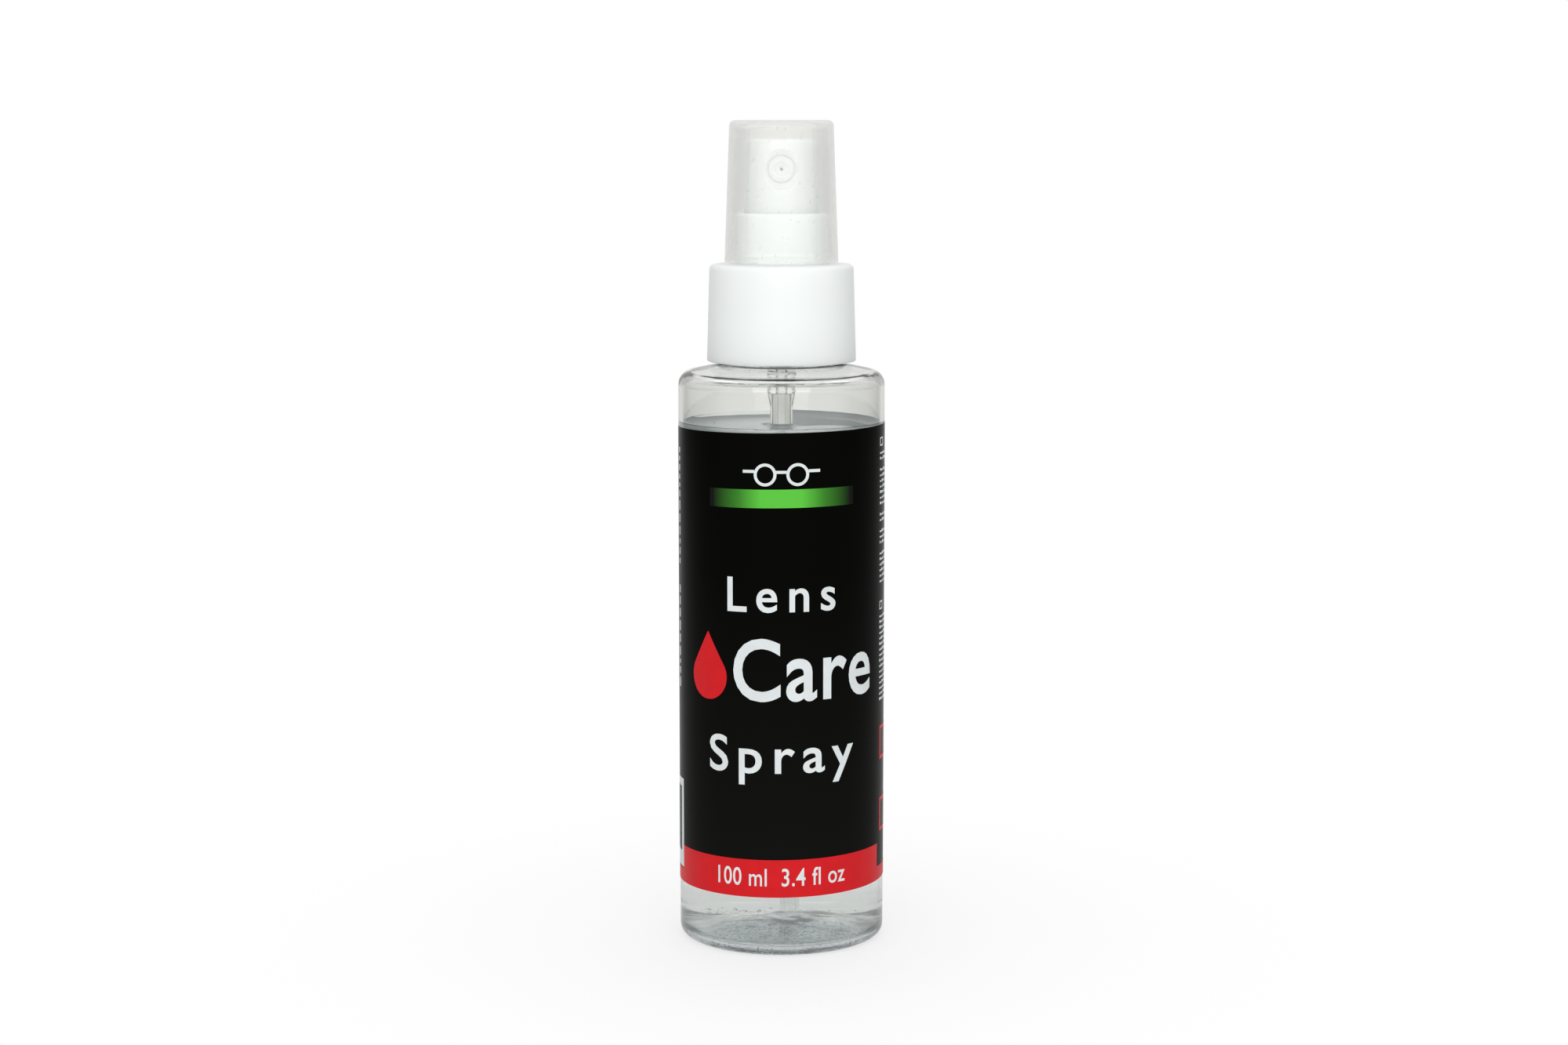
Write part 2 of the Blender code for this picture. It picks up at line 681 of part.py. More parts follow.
def make_dip_tube(finish, parent):
    """Straight where the pump tail holds it, then set slightly to one side."""
    levels = 7
    heights = [TUBE_TOP] + [
        TUBE_BEND_START + (TUBE_BOTTOM - TUBE_BEND_START) * i / levels for i in range(levels + 1)
    ]
    outline = [(TUBE_RADIUS, z) for z in heights]
    outline += [(TUBE_BORE, z) for z in reversed(heights)]
    tube = turned("dip_tube", outline, finish, parent, sides=12)
    reach = TUBE_BEND_START - TUBE_BOTTOM
    for vert in tube.data.vertices:
        below = max(0.0, TUBE_BEND_START - vert.co.z / MM)
        vert.co.x += TUBE_BEND * MM * (below / reach) ** 2
    return tube


def main():
    clear_scene()
    clear_pet = material("clear_pet", (0.92, 0.94, 0.94), 0.06, alpha=0.3, transmission=1.0)
    black_film = material("black_label_film", (0.012, 0.012, 0.011), 0.32)
    liquid = material("cleaning_liquid", (0.80, 0.86, 0.88), 0.02, alpha=0.35, transmission=1.0)
    white_pp = material("white_polypropylene", (0.86, 0.87, 0.86), 0.38)
    natural_pp = material("natural_polypropylene", (0.80, 0.81, 0.79), 0.30, alpha=0.45)
    housing_pp = material("housing_polypropylene", (0.76, 0.77, 0.76), 0.32, alpha=0.7)
    soft_pe = material("piston_polyethylene", (0.84, 0.84, 0.80), 0.45)
    gasket_foam = material("gasket_foam", (0.88, 0.88, 0.84), 0.80)
    steel = material("stainless_steel", (0.62, 0.62, 0.63), 0.22, metallic=1.0)

    bottle_body = body_empty("bottle_body")
    pump_body = body_empty("pump_body", bottle_body)
    closure_body = body_empty("closure_body", pump_body)
    overcap_body = body_empty("overcap_body", closure_body)
    stem_body = body_empty("stem_body", pump_body)
    button_body = body_empty("button_body", stem_body)
    piston_body = body_empty("piston_body", stem_body)
    ball_body = body_empty("ball_body", pump_body)

    make_bottle(clear_pet, bottle_body)
    make_label(black_film, bottle_body)
    make_liquid(liquid, bottle_body)
    make_pump_housing(housing_pp, pump_body)
    make_retaining_ring(white_pp, pump_body)
    make_gasket(gasket_foam, pump_body)
    make_dip_tube(natural_pp, pump_body)
    make_spring(steel, pump_body)
    make_ball(steel, ball_body)
    make_closure(white_pp, closure_body)
    make_overcap(natural_pp, overcap_body)
    make_stem(white_pp, stem_body)
    make_stem_core(white_pp, stem_body)
    make_piston(soft_pe, piston_body)
    make_actuator(white_pp, button_body)
    make_nozzle_insert(white_pp, button_body)


main()
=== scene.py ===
"""Looks of the lens cleaning spray: clear bottle, printed label, white mist pump, overcap.

Sizes here are millimetres, heights are above the standing surface and the bottle's axis is
world Z. The CAD frame gives the places of the pieces; MM turns millimetres into metres.
"""

import math
import random

import bmesh
import bpy
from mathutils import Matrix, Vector, noise


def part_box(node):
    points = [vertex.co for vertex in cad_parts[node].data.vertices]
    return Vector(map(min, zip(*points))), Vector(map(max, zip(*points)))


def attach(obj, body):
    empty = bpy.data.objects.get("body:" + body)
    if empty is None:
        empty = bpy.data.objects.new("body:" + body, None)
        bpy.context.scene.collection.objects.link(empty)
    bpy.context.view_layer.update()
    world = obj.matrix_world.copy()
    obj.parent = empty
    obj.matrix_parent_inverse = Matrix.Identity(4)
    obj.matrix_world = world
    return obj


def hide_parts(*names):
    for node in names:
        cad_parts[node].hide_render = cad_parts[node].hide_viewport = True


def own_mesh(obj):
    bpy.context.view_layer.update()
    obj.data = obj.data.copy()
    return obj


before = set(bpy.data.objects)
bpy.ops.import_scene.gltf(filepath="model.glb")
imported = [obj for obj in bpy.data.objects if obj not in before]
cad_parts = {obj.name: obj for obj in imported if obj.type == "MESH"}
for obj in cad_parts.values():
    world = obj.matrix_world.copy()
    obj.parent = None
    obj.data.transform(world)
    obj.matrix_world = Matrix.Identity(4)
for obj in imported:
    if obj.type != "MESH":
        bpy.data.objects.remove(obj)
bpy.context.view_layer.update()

MM = 0.001
SIDES = 144  # facets round a turned piece
FINE_SIDES = 64  # facets round a small turned piece


def extent(node):
    """A CAD node's lowest height, highest height and largest radius about the axis."""
    low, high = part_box(node)
    return low.z / MM, high.z / MM, high.x / MM


_, NECK_TOP, BODY_RADIUS = extent("bottle")
LABEL_BOTTOM, LABEL_TOP, _ = extent("label")
_, FILL_HEIGHT, _ = extent("cleaning_fluid")
CLOSURE_BOTTOM, TURRET_TOP, CLOSURE_RADIUS = extent("closure")
CAP_BOTTOM, CAP_TOP, CAP_RADIUS = extent("overcap")
BUTTON_BOTTOM, BUTTON_TOP, BUTTON_SKIRT = extent("actuator")
TAIL_BOTTOM, HOUSING_TOP, FLANGE_RADIUS = extent("pump_housing")
TUBE_BOTTOM, TUBE_TOP, _ = extent("dip_tube")
NOZZLE_LOW, NOZZLE_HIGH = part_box("nozzle_insert")
NOZZLE_HEIGHT = (NOZZLE_LOW.z + NOZZLE_HIGH.z) / 2 / MM
NOZZLE_FACE = -NOZZLE_LOW.y / MM
NOZZLE_RADIUS = NOZZLE_HIGH.x / MM

# Bottle
WALL = 0.8
BASE_FILLET = 2.0
BASE_RING_INNER = 14.8
BASE_PUSH_UP = 3.2
BASE_THICKNESS = 1.2
BASE_TOP = BASE_PUSH_UP + BASE_THICKNESS + 1  # clear of everything in the base
SHOULDER_FILLET = 2.7
SHOULDER_EDGE = 107.33  # height where the shoulder cone would meet the body's radius
SHOULDER_RISE = 0.22  # cone's rise for each millimetre towards the axis
SHOULDER_WALL = 1.15  # at the body's edge, and less towards the neck
NECK_BEAD_RADIUS = 12.2
NECK_BEAD_TOP = 110.3
NECK_RADIUS = 10.75
NECK_BORE = 9.1

# Liquid
LIQUID_OVERLAP = 0.06  # how far it reaches into the wall
LIQUID_RADIUS = BODY_RADIUS - WALL + LIQUID_OVERLAP
CLIMB = 1.3  # how far it climbs the wall
CLIMB_REACH = 1.3  # how far from the wall the climb fades

# Neck thread
THREAD_LEAD = 3.175
THREAD_START = 116.6
THREAD_CREST = 11.95
CLOSURE_THREAD_CREST = 11.15
CLOSURE_BORE = 12.35
THREAD_STEPS = 72  # sections in each turn

# Label: u runs round the label from its front centre line, v is height
LABEL_RADIUS = BODY_RADIUS + 0.05
LABEL_FILM = 0.04
INK = 0.02  # thickness of a printed or coated area
INK_GAP = 0.002
BACKING_DEPTH = 0.13  # below the label's face, and so just inside the bottle's wall
BACKING_GAP = 0.005
LABEL_SKEW = math.tan(math.radians(0.7))
SEAM_ANGLE = math.radians(9)
LABEL_RIGHT = math.pi * LABEL_RADIUS
LABEL_LEFT = -(math.pi - SEAM_ANGLE) * LABEL_RADIUS
MARGIN_LEFT = -LABEL_RIGHT + 0.05  # the film's unprinted margin reaches the seam
SIDE_LEFT = math.radians(-72) * LABEL_RADIUS  # ends of the red band's high part
SIDE_RIGHT = math.radians(68) * LABEL_RADIUS
BAND_TOP = LABEL_BOTTOM + 7.1
WRAP_STEP = 0.8  # longest straight stretch of print round the label

# Closure
CLOSURE_DECK = CAP_BOTTOM - 0.3
DECK_THICKNESS = 1.2
CLOSURE_TOP_RADIUS = CLOSURE_RADIUS - 0.5
TURRET_RADIUS = 8.7
TURRET_BORE = 7.75
SNAP_BEAD_HEIGHT = 129.35

# Overcap
CAP_TOP_RADIUS = 9.66
CAP_WALL = 1.04
CAP_TOP_WALL = 1.15

# Actuator
BUTTON_TOP_RADIUS = 6.35
BUTTON_WALL = 1.05
BUTTON_CEILING = BUTTON_TOP - 1.8
BUTTON_DISH = 0.5
STEM_SOCKET = 3.3
STEM_BORE = 2.35
STEM_END = 143.0
NOZZLE_RECESS = 3.15
BLOCK_RADIUS = 3.9  # solid part behind the nozzle
PAST_FRONT = 8  # further out than the button's front

# Pump barrel and its tail
RIM_OUTER = 4.7
RIM_INNER = 3.9
RIM_HEIGHT = 1.5
FLANGE_THICKNESS = 0.8
BARREL_RADIUS = 4.4
CHAMBER_RADIUS = 3.3
CHAMBER_TOP = 124.3
CHAMBER_FLOOR = 110.0
BALL_CAGE_RADIUS = 1.55
BALL_SEAT_HEIGHT = 108.2
INLET_RADIUS = 0.8
INLET_TOP = 107.3
TAIL_RADIUS = 2.62
TAIL_TOP = 107.9
TAIL_BEAD_HEIGHT = 105.1
TAIL_BEAD = 0.16
TAIL_STEP_TOP = 103.5
TAIL_STEP_BOTTOM = 101.2
TAIL_TIP_RADIUS = 2.15
TUBE_SOCKET = 1.6
TUBE_SOCKET_TOP = 103.6

# Dip tube
TUBE_RADIUS = 1.35
TUBE_BORE = 0.9
TUBE_BEND_START = 96.0
TUBE_BEND = 1.2

# Return spring
SPRING_BOTTOM, SPRING_TOP, SPRING_OUTER = extent("return_spring")
SPRING_WIRE = 0.22  # radius of the wire
SPRING_TURNS = 7
SPRING_STEPS = 36  # sections in each turn

# Floor and studio
FLOOR_RADIUS = 900
FLOOR_HEIGHT = -0.1
WALL_LEVELS = [  # half turns away from the back wall, and brightness
    (0.0, 0.77),
    (0.17, 0.72),
    (0.25, 0.15),
    (0.48, 0.12),
    (0.68, 0.7),
    (1.0, 0.9),
]
CEILING_LEVEL = 0.9

# Camera
CAMERA_DISTANCE = 555.1
CAMERA_HEIGHT = 152.3
CAMERA_SIDE = 0.47
CAMERA_TILT = math.radians(7.53)
CAMERA_LENS = 68.15


# Geometry helpers


def link(name, mesh):
    made = bpy.data.objects.new(name, mesh)
    bpy.context.scene.collection.objects.link(made)
    return made


def finished(name, bm, sharp_degrees=30):
    """Turn a bmesh into a smooth-shaded object whose normals point out."""
    bmesh.ops.recalc_face_normals(bm, faces=bm.faces)
    mesh = bpy.data.meshes.new(name)
    bm.to_mesh(mesh)
    bm.free()
    mesh.shade_smooth()
    mesh.set_sharp_from_angle(angle=math.radians(sharp_degrees))
    return link(name, mesh)


def rounded(corners, steps=6):
    """Outline through (radius, height) or (radius, height, fillet) corners."""
    points = [Vector(corner[:2]) for corner in corners]
    outline = []
    for i, corner in enumerate(corners):
        fillet = corner[2] if len(corner) > 2 else 0
        if not fillet:
            outline.append(points[i])
            continue
        back = (points[i - 1] - points[i]).normalized()
        ahead = (points[(i + 1) % len(points)] - points[i]).normalized()
        half = back.angle(ahead) / 2
        centre = points[i] + (back + ahead).normalized() * (fillet / math.sin(half))
        first = points[i] + back * (fillet / math.tan(half)) - centre
        last = points[i] + ahead * (fillet / math.tan(half)) - centre
        start = math.atan2(first.y, first.x)
        turn = math.remainder(math.atan2(last.y, last.x) - start, 2 * math.pi)
        for step in range(steps + 1):
            angle = start + turn * step / steps
            outline.append(centre + fillet * Vector((math.cos(angle), math.sin(angle))))
    return outline


def lathe_bmesh(outline, sides):
    """Spin an outline about Z; one that starts on the axis also ends on it."""
    bm = bmesh.new()
    verts = [bm.verts.new((r * MM, 0, z * MM)) for r, z in outline]
    edges = [bm.edges.new(pair) for pair in zip(verts, verts[1:])]
    if outline[0][0] > 0:
        edges.append(bm.edges.new((verts[-1], verts[0])))
    bmesh.ops.spin(
        bm,
        geom=verts + edges,
        cent=(0, 0, 0),
        axis=(0, 0, 1),
        angle=2 * math.pi,
        steps=sides,
        use_merge=True,
    )
    bmesh.ops.remove_doubles(bm, verts=bm.verts, dist=1e-7)
    return bm


def lathe(name, outline, sides=SIDES):
    return finished(name, lathe_bmesh(outline, sides))


def swept(name, rings):
    """Closed solid through rings that all have the same number of points."""
    bm = bmesh.new()
    made = [[bm.verts.new([c * MM for c in point]) for point in ring] for ring in rings]
    for near, far in zip(made, made[1:]):
        for i in range(len(near)):
            bm.faces.new((near[i - 1], near[i], far[i], far[i - 1]))
    bm.faces.new(made[0])
    bm.faces.new(made[-1])
    return finished(name, bm)


def facing_front(item, height):
    """Point a turned piece's axis to the front, -Y, at a height."""
    item.rotation_euler = (math.radians(90), 0, 0)
    item.location = (0, 0, height * MM)
    return item


def combine(target, operation, tool):
    """Apply an exact Boolean to target and remove the tool."""
    modifier = target.modifiers.new(operation, "BOOLEAN")
    modifier.operation = operation
    modifier.solver = "EXACT"
    modifier.object = tool
    bpy.context.view_layer.update()
    shaped = target.evaluated_get(bpy.context.evaluated_depsgraph_get())
    mesh = bpy.data.meshes.new_from_object(shaped)
    target.modifiers.clear()
    target.data = mesh
    mesh.shade_smooth()
    mesh.set_sharp_from_angle(angle=math.radians(30))
    bpy.data.objects.remove(tool, do_unlink=True)
    return target


def thread_ridge(wall, crest, root_width, crest_width, start, turns):
    """Helical ridge from a wall radius to a crest radius, faded away at both ends."""
    buried = wall + (0.2 if crest < wall else -0.2)
    run_out = 1 / 10
    rings = []
    for step in range(round(turns * THREAD_STEPS) + 1):
        turn = step / THREAD_STEPS
        height = start + THREAD_LEAD * turn
        fade = min(1.0, (0.01 + min(turn, turns - turn)) / run_out)
        top = wall + (crest - wall) * math.sin(fade * math.pi / 2)
        section = [
            (buried, height - root_width / 2),
            (top, height - crest_width / 2),
            (top, height + crest_width / 2),
            (buried, height + root_width / 2),
        ]
        angle = 2 * math.pi * turn
        rings.append([(r * math.cos(angle), r * math.sin(angle), z) for r, z in section])
    return swept("thread_ridge", rings)


def placed(item, body, slot, material, *replaced):
    """Give a piece its material, body and the CAD nodes it stands for; slot is not used."""
    item.data.materials.clear()
    item.data.materials.append(material)
    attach(item, body)
    if replaced:
        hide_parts(*replaced)
    return item


# Materials


def math_node(nodes, links, operation, first, second=None):
    """Result of a maths node; the second value is a plain number or another node's result."""
    node = nodes.new("ShaderNodeMath")
    node.operation = operation
    links.new(first, node.inputs[0])
    if isinstance(second, float):
        node.inputs[1].default_value = second
    elif second:
        links.new(second, node.inputs[1])
    return node.outputs["Value"]


def soft_step(nodes, links, value, limits, results):
    """Value eased from the first result to the second between two limits."""
    step = nodes.new("ShaderNodeMapRange")
    step.interpolation_type = "SMOOTHSTEP"
    step.inputs["From Min"].default_value, step.inputs["From Max"].default_value = limits
    step.inputs["To Min"].default_value, step.inputs["To Max"].default_value = results
    links.new(value, step.inputs["Value"])
    return step.outputs["Result"]


def colour_ramp(nodes, links, value, stops, interpolation="LINEAR"):
    ramp = nodes.new("ShaderNodeValToRGB")
    ramp.color_ramp.interpolation = interpolation
    elements = ramp.color_ramp.elements
    while len(elements) < len(stops):
        elements.new(0.5)
    for element, (position, colour) in zip(elements, stops):
        element.position = position
        element.color = (*colour, 1)
    links.new(value, ramp.inputs["Fac"])
    return ramp.outputs["Color"]


class Finish:
    """A Principled material built up from procedural layers in object space."""

    def __init__(self, name, colour, roughness, **inputs):
        self.material = bpy.data.materials.new(name)
        self.material.use_nodes = True
        self.nodes = self.material.node_tree.nodes
        self.links = self.material.node_tree.links
        self.shader = self.nodes["Principled BSDF"]
        self.place = self.nodes.new("ShaderNodeTexCoord").outputs["Object"]
        self.normal = None
        self.shader.inputs["Base Color"].default_value = (*colour, 1)
        self.shader.inputs["Roughness"].default_value = roughness
        for key, value in inputs.items():
            self.shader.inputs[key.replace("_", " ")].default_value = value

    def stretched(self, stretch):
        mapping = self.nodes.new("ShaderNodeMapping")
        mapping.inputs["Scale"].default_value = stretch
        self.links.new(self.place, mapping.inputs["Vector"])
        return mapping.outputs["Vector"]

    def noise(self, size, detail=3.0, stretch=(1, 1, 1)):
        """Noise whose features are about size millimetres across."""
        texture = self.nodes.new("ShaderNodeTexNoise")
        texture.inputs["Scale"].default_value = 1 / (size * MM)
        texture.inputs["Detail"].default_value = detail
        self.links.new(self.stretched(stretch), texture.inputs["Vector"])
        return texture.outputs["Fac"]

    def height_share(self):
        """Zero at the label's lower edge, one at its upper edge."""
        split = self.nodes.new("ShaderNodeSeparateXYZ")
        self.links.new(self.place, split.inputs["Vector"])
        share = self.nodes.new("ShaderNodeMapRange")
        share.inputs["From Min"].default_value = LABEL_BOTTOM * MM
        share.inputs["From Max"].default_value = LABEL_TOP * MM
        self.links.new(split.outputs["Z"], share.inputs["Value"])
        return share.outputs["Result"]

    def ramp(self, value, stops):
        return colour_ramp(self.nodes, self.links, value, stops)

    def tint(self, value, stops):
        self.links.new(self.ramp(value, stops), self.shader.inputs["Base Color"])
        return self

    def gloss(self, value, low, high):
        spread = self.nodes.new("ShaderNodeMapRange")
        spread.inputs["To Min"].default_value = low
        spread.inputs["To Max"].default_value = high
        self.links.new(value, spread.inputs["Value"])
        self.links.new(spread.outputs["Result"], self.shader.inputs["Roughness"])
        return self

    def bump(self, value, depth, strength=1.0):
        """Relief of depth millimetres."""
        bump = self.nodes.new("ShaderNodeBump")
        bump.inputs["Strength"].default_value = strength
        bump.inputs["Distance"].default_value = depth * MM
        self.links.new(value, bump.inputs["Height"])
        if self.normal:
            self.links.new(self.normal, bump.inputs["Normal"])
        self.normal = bump.outputs["Normal"]
        self.links.new(self.normal, self.shader.inputs["Normal"])
        return self


def clear_pet():
    finish = Finish("clear_pet", (0.975, 0.982, 0.962), 0.015, Transmission_Weight=1.0, IOR=1.57)
    finish.bump(finish.noise(7, 2, (1, 1, 0.35)), 0.05)
    return finish.material


def moulded_pet():
    """The same plastic in the base, where the mould leaves it duller, with small pits."""
    finish = Finish("moulded_pet", (0.975, 0.98, 0.975), 0.12, Transmission_Weight=1.0, IOR=1.57)
    finish.bump(finish.noise(7, 1), 0.15)
    pits = finish.ramp(finish.noise(0.5, 0), [(0.68, (0, 0, 0)), (0.76, (1, 1, 1))])
    finish.bump(pits, 0.12)
    return finish.material


def cleaning_liquid():
    finish = Finish(
        "cleaning_liquid", (0.93, 0.958, 0.97), 0.0, Transmission_Weight=1.0, IOR=1.333
    )
    finish.bump(finish.noise(9, 1), 0.01)
    return finish.material


def label_film():
    finish = Finish("label_film", (0.003, 0.003, 0.0027), 0.34, Specular_IOR_Level=0.02)
    # Lighter towards the bottom: painted sheen, standing in for the soft reflection low on the black
    # film.
    low, high = (0.006, 0.006, 0.0055), (0.0015, 0.0015, 0.0012)
    finish.tint(finish.height_share(), [(0.0, low), (0.7, high)])
    finish.gloss(finish.noise(3.5, 4), 0.2, 0.3)
    finish.bump(finish.noise(0.5, 4), 0.004)
    finish.bump(finish.noise(14, 1, (1, 1, 0.4)), 0.06)
    return finish.material


def printed(name, colour, roughness=0.36):
    finish = Finish(name, colour, roughness, Specular_IOR_Level=0.08)
    darker = tuple(0.93 * c for c in colour)
    finish.tint(finish.noise(2.5, 4), [(0.35, darker), (0.65, colour)])
    finish.bump(finish.noise(0.4, 3), 0.004)
    return finish.material


def label_back_painted_glow(band):
    """Pale side of the film in one of its bands, with painted light: a painted glow that is stronger in
    the lower bands, where more light comes through, and a colour that is lighter towards the bottom.
    """
    # Painted glow of each band, strongest in the lowest.
    strength = (0.5, 0.4, 0.29, 0.19)[band]
    glow = (0.92, 0.97, 0.98, 1)
    low, middle, high = (0.85, 0.88, 0.88), (0.6, 0.65, 0.66), (0.42, 0.47, 0.5)
    finish = Finish(
        f"label_back_painted_glow_{band}",
        middle,
        0.5,
        Emission_Color=glow,
        Emission_Strength=strength,
    )
    # Painted light and shade: lighter towards the bottom, darker towards the top.
    finish.tint(finish.height_share(), [(0.0, low), (0.5, middle), (1.0, high)])
    finish.bump(finish.noise(0.5, 3), 0.004)
    return finish.material


def printed_fade(name, colour, half_width):
    """Ink that fades out towards both ends of a bar centred on the label's front."""
    finish = Finish(name, colour, 0.36, Specular_IOR_Level=0.08)
    split = finish.nodes.new("ShaderNodeSeparateXYZ")
    finish.links.new(finish.place, split.inputs["Vector"])
    reach = math_node(finish.nodes, finish.links, "ABSOLUTE", split.outputs["X"])
    share = math_node(finish.nodes, finish.links, "DIVIDE", reach, half_width * MM)
    dark = (0.004, 0.004, 0.0035)
    middle = tuple(0.4 * c for c in colour)
    finish.tint(share, [(0.3, colour), (0.62, middle), (1.0, dark)])
    finish.bump(finish.noise(0.4, 3), 0.004)
    return finish.material


def white_plastic(name, colour=(0.86, 0.885, 0.875), roughness=0.36, glow=0.0):
    """White polypropylene; glow is a painted glow, an emission that stands in for the light that a milky
    cover scatters onto a piece.
    """
    finish = Finish(
        name,
        colour,
        roughness,
        IOR=1.49,
        Specular_IOR_Level=0.3,
        Subsurface_Weight=0.6,
        Subsurface_Radius=(1, 1, 1),
        Subsurface_Scale=1.5 * MM,
        Emission_Color=(0.97, 1.0, 0.98, 1),
        Emission_Strength=glow,
    )
    cooler = (colour[0] * 0.975, colour[1] * 0.985, colour[2] * 0.985)
    finish.tint(finish.noise(9, 3, (1, 1, 0.3)), [(0.3, cooler), (0.7, colour)])
    finish.gloss(finish.noise(2.2, 4), roughness - 0.05, roughness + 0.06)
    finish.bump(finish.noise(0.12, 2), 0.0025)
    finish.bump(finish.noise(6, 1, (1, 1, 0.25)), 0.02)
    return finish.material


def white_lit_through():
    """Inside of the closure's skirt, with a painted glow that stands in for the daylight coming through
    the thin wall.
    """
    glow = (0.95, 1.0, 0.97, 1)
    dull, clean = (0.84, 0.86, 0.85), (0.87, 0.885, 0.875)
    # The emission is painted glow, not a lamp.
    finish = Finish("white_lit_through", clean, 0.4, Emission_Color=glow, Emission_Strength=0.42)
    finish.tint(finish.noise(5, 3), [(0.3, dull), (0.7, clean)])
    finish.bump(finish.noise(4, 2), 0.02)
    return finish.material


def natural_plastic(name, colour, roughness, transmission, alpha, ior=1.49):
    """Milky plastic; what alpha leaves out passes straight through each surface."""
    finish = Finish(name, colour, roughness, Transmission_Weight=transmission, IOR=ior, Alpha=alpha)
    cloudier = tuple(0.95 * c for c in colour)
    finish.tint(finish.noise(5, 3, (1, 1, 0.4)), [(0.3, cloudier), (0.7, colour)])
    finish.gloss(finish.noise(1.5, 3), roughness * 0.85, roughness * 1.15)
    finish.bump(finish.noise(5, 1, (1, 1, 0.3)), 0.02)
    return finish.material


def soft_polymer(name, colour, grain):
    finish = Finish(name, colour, 0.6, IOR=1.5)
    darker = tuple(0.88 * c for c in colour)
    finish.tint(finish.noise(grain, 4), [(0.35, darker), (0.65, colour)])
    finish.bump(finish.noise(grain / 3, 4), grain * 0.06)
    return finish.material


def steel(name, roughness, stretch):
    finish = Finish(name, (0.62, 0.62, 0.63), roughness, Metallic=1.0)
    finish.tint(finish.noise(0.8, 3, stretch), [(0.3, (0.5, 0.5, 0.51)), (0.7, (0.68, 0.68, 0.69))])
    finish.gloss(finish.noise(0.3, 4, stretch), roughness * 0.7, roughness * 1.4)
    return finish.material


# Bottle, liquid and dip tube


def base_height(radius, lift=0.0):
    """Height of the pushed-up base at a radius, raised by lift."""
    curve = (BASE_RING_INNER**2 + BASE_PUSH_UP**2) / (2 * BASE_PUSH_UP)
    return BASE_PUSH_UP - curve + math.sqrt(curve**2 - radius**2) + lift


def base_points(lift, steps=36):
    """Pushed-up base from the axis out to the standing ring."""
    radii = [BASE_RING_INNER * i / steps for i in range(steps + 1)]
    return [Vector((r, base_height(r, lift))) for r in radii]


def shoulder_height(radius, drop=0.0):
    return SHOULDER_EDGE + (BODY_RADIUS - radius) * SHOULDER_RISE - drop


def bottle_outline():
    neck_root = shoulder_height(NECK_BEAD_RADIUS)
    inner = BODY_RADIUS - WALL
    outside = base_points(0.0)
    outside += rounded(
        [
            (BASE_RING_INNER, 0),
            (BODY_RADIUS, 0, BASE_FILLET),
            (BODY_RADIUS, shoulder_height(BODY_RADIUS), SHOULDER_FILLET),
            (NECK_BEAD_RADIUS, neck_root, 0.35),
            (NECK_BEAD_RADIUS, NECK_BEAD_TOP, 0.3),
            (NECK_RADIUS, NECK_BEAD_TOP + 0.9, 0.4),
            (NECK_RADIUS, NECK_TOP, 0.4),
            (NECK_BORE, NECK_TOP, 0.15),
            (NECK_BORE, neck_root - 0.1, 0.9),
            (inner, shoulder_height(inner, SHOULDER_WALL), SHOULDER_FILLET - WALL),
            (inner, BASE_THICKNESS, BASE_FILLET),
            (BASE_RING_INNER, BASE_THICKNESS),
        ],
        steps=8,
    )[1:-1]
    return outside + base_points(BASE_THICKNESS)[::-1]


def unevenness(x, y):
    """How far blowing has left the inside of the base raised at a place."""
    radius = math.hypot(x, y)
    share = max(0.0, 1 - (radius / BASE_RING_INNER) ** 4)
    lumps = noise.noise(Vector((x * 0.16, y * 0.16, 3.7)))
    ripples = noise.noise(Vector((x * 0.5, y * 0.5, 9.1)))
    centre = math.exp(-((radius / 3.0) ** 2))
    return (0.6 * lumps + 0.1 * ripples) * share + 0.3 * centre


def shape_base(bottle):
    """Gate mark under the base, and its uneven inside."""
    gate_side, gate_radius, gate_depth = 1.2, 2.6, 0.35
    for vert in bottle.data.vertices:
        x, y, z = (c / MM for c in vert.co)
        radius = math.hypot(x, y)
        if z > BASE_TOP or radius > BODY_RADIUS - WALL:
            continue
        inside = z > base_height(min(radius, BASE_RING_INNER), BASE_THICKNESS * 0.6)
        if inside:
            vert.co.z += unevenness(x, y) * MM
        elif radius < BASE_RING_INNER:
            from_gate = math.hypot(x - gate_side, y) / gate_radius
            gate = gate_depth * math.exp(-(from_gate**6))
            vert.co.z += (0.35 * unevenness(y, x) - gate) * MM


def make_bottle(material, moulded):
    bottle = lathe("bottle_shell", bottle_outline(), sides=216)
    shape_base(bottle)
    ridge = thread_ridge(NECK_RADIUS, THREAD_CREST, 2.2, 1.0, THREAD_START, 1.5)
    combine(bottle, "UNION", ridge)
    placed(bottle, "bottle", "bottle_pet", material, "bottle")
    bottle.data.materials.append(moulded)
    for face in bottle.data.polygons:
        x, y, z = (c / MM for c in face.center)
        pushed_up = z < BASE_TOP and math.hypot(x, y) < BASE_RING_INNER + 0.5
        if pushed_up or z < BASE_FILLET - 0.4:
            face.material_index = 1
    return bottle


def surface_height(radius):
    """Liquid's surface at a radius: it climbs the wall, and half as far up the pump's tail."""
    level = FILL_HEIGHT - CLIMB
    at_wall = math.exp(-(LIQUID_RADIUS - radius) / CLIMB_REACH)
    at_tail = math.exp(-2 * max(0.0, radius - TAIL_TIP_RADIUS) / CLIMB_REACH)
    return level + CLIMB * (at_wall + at_tail / 2)


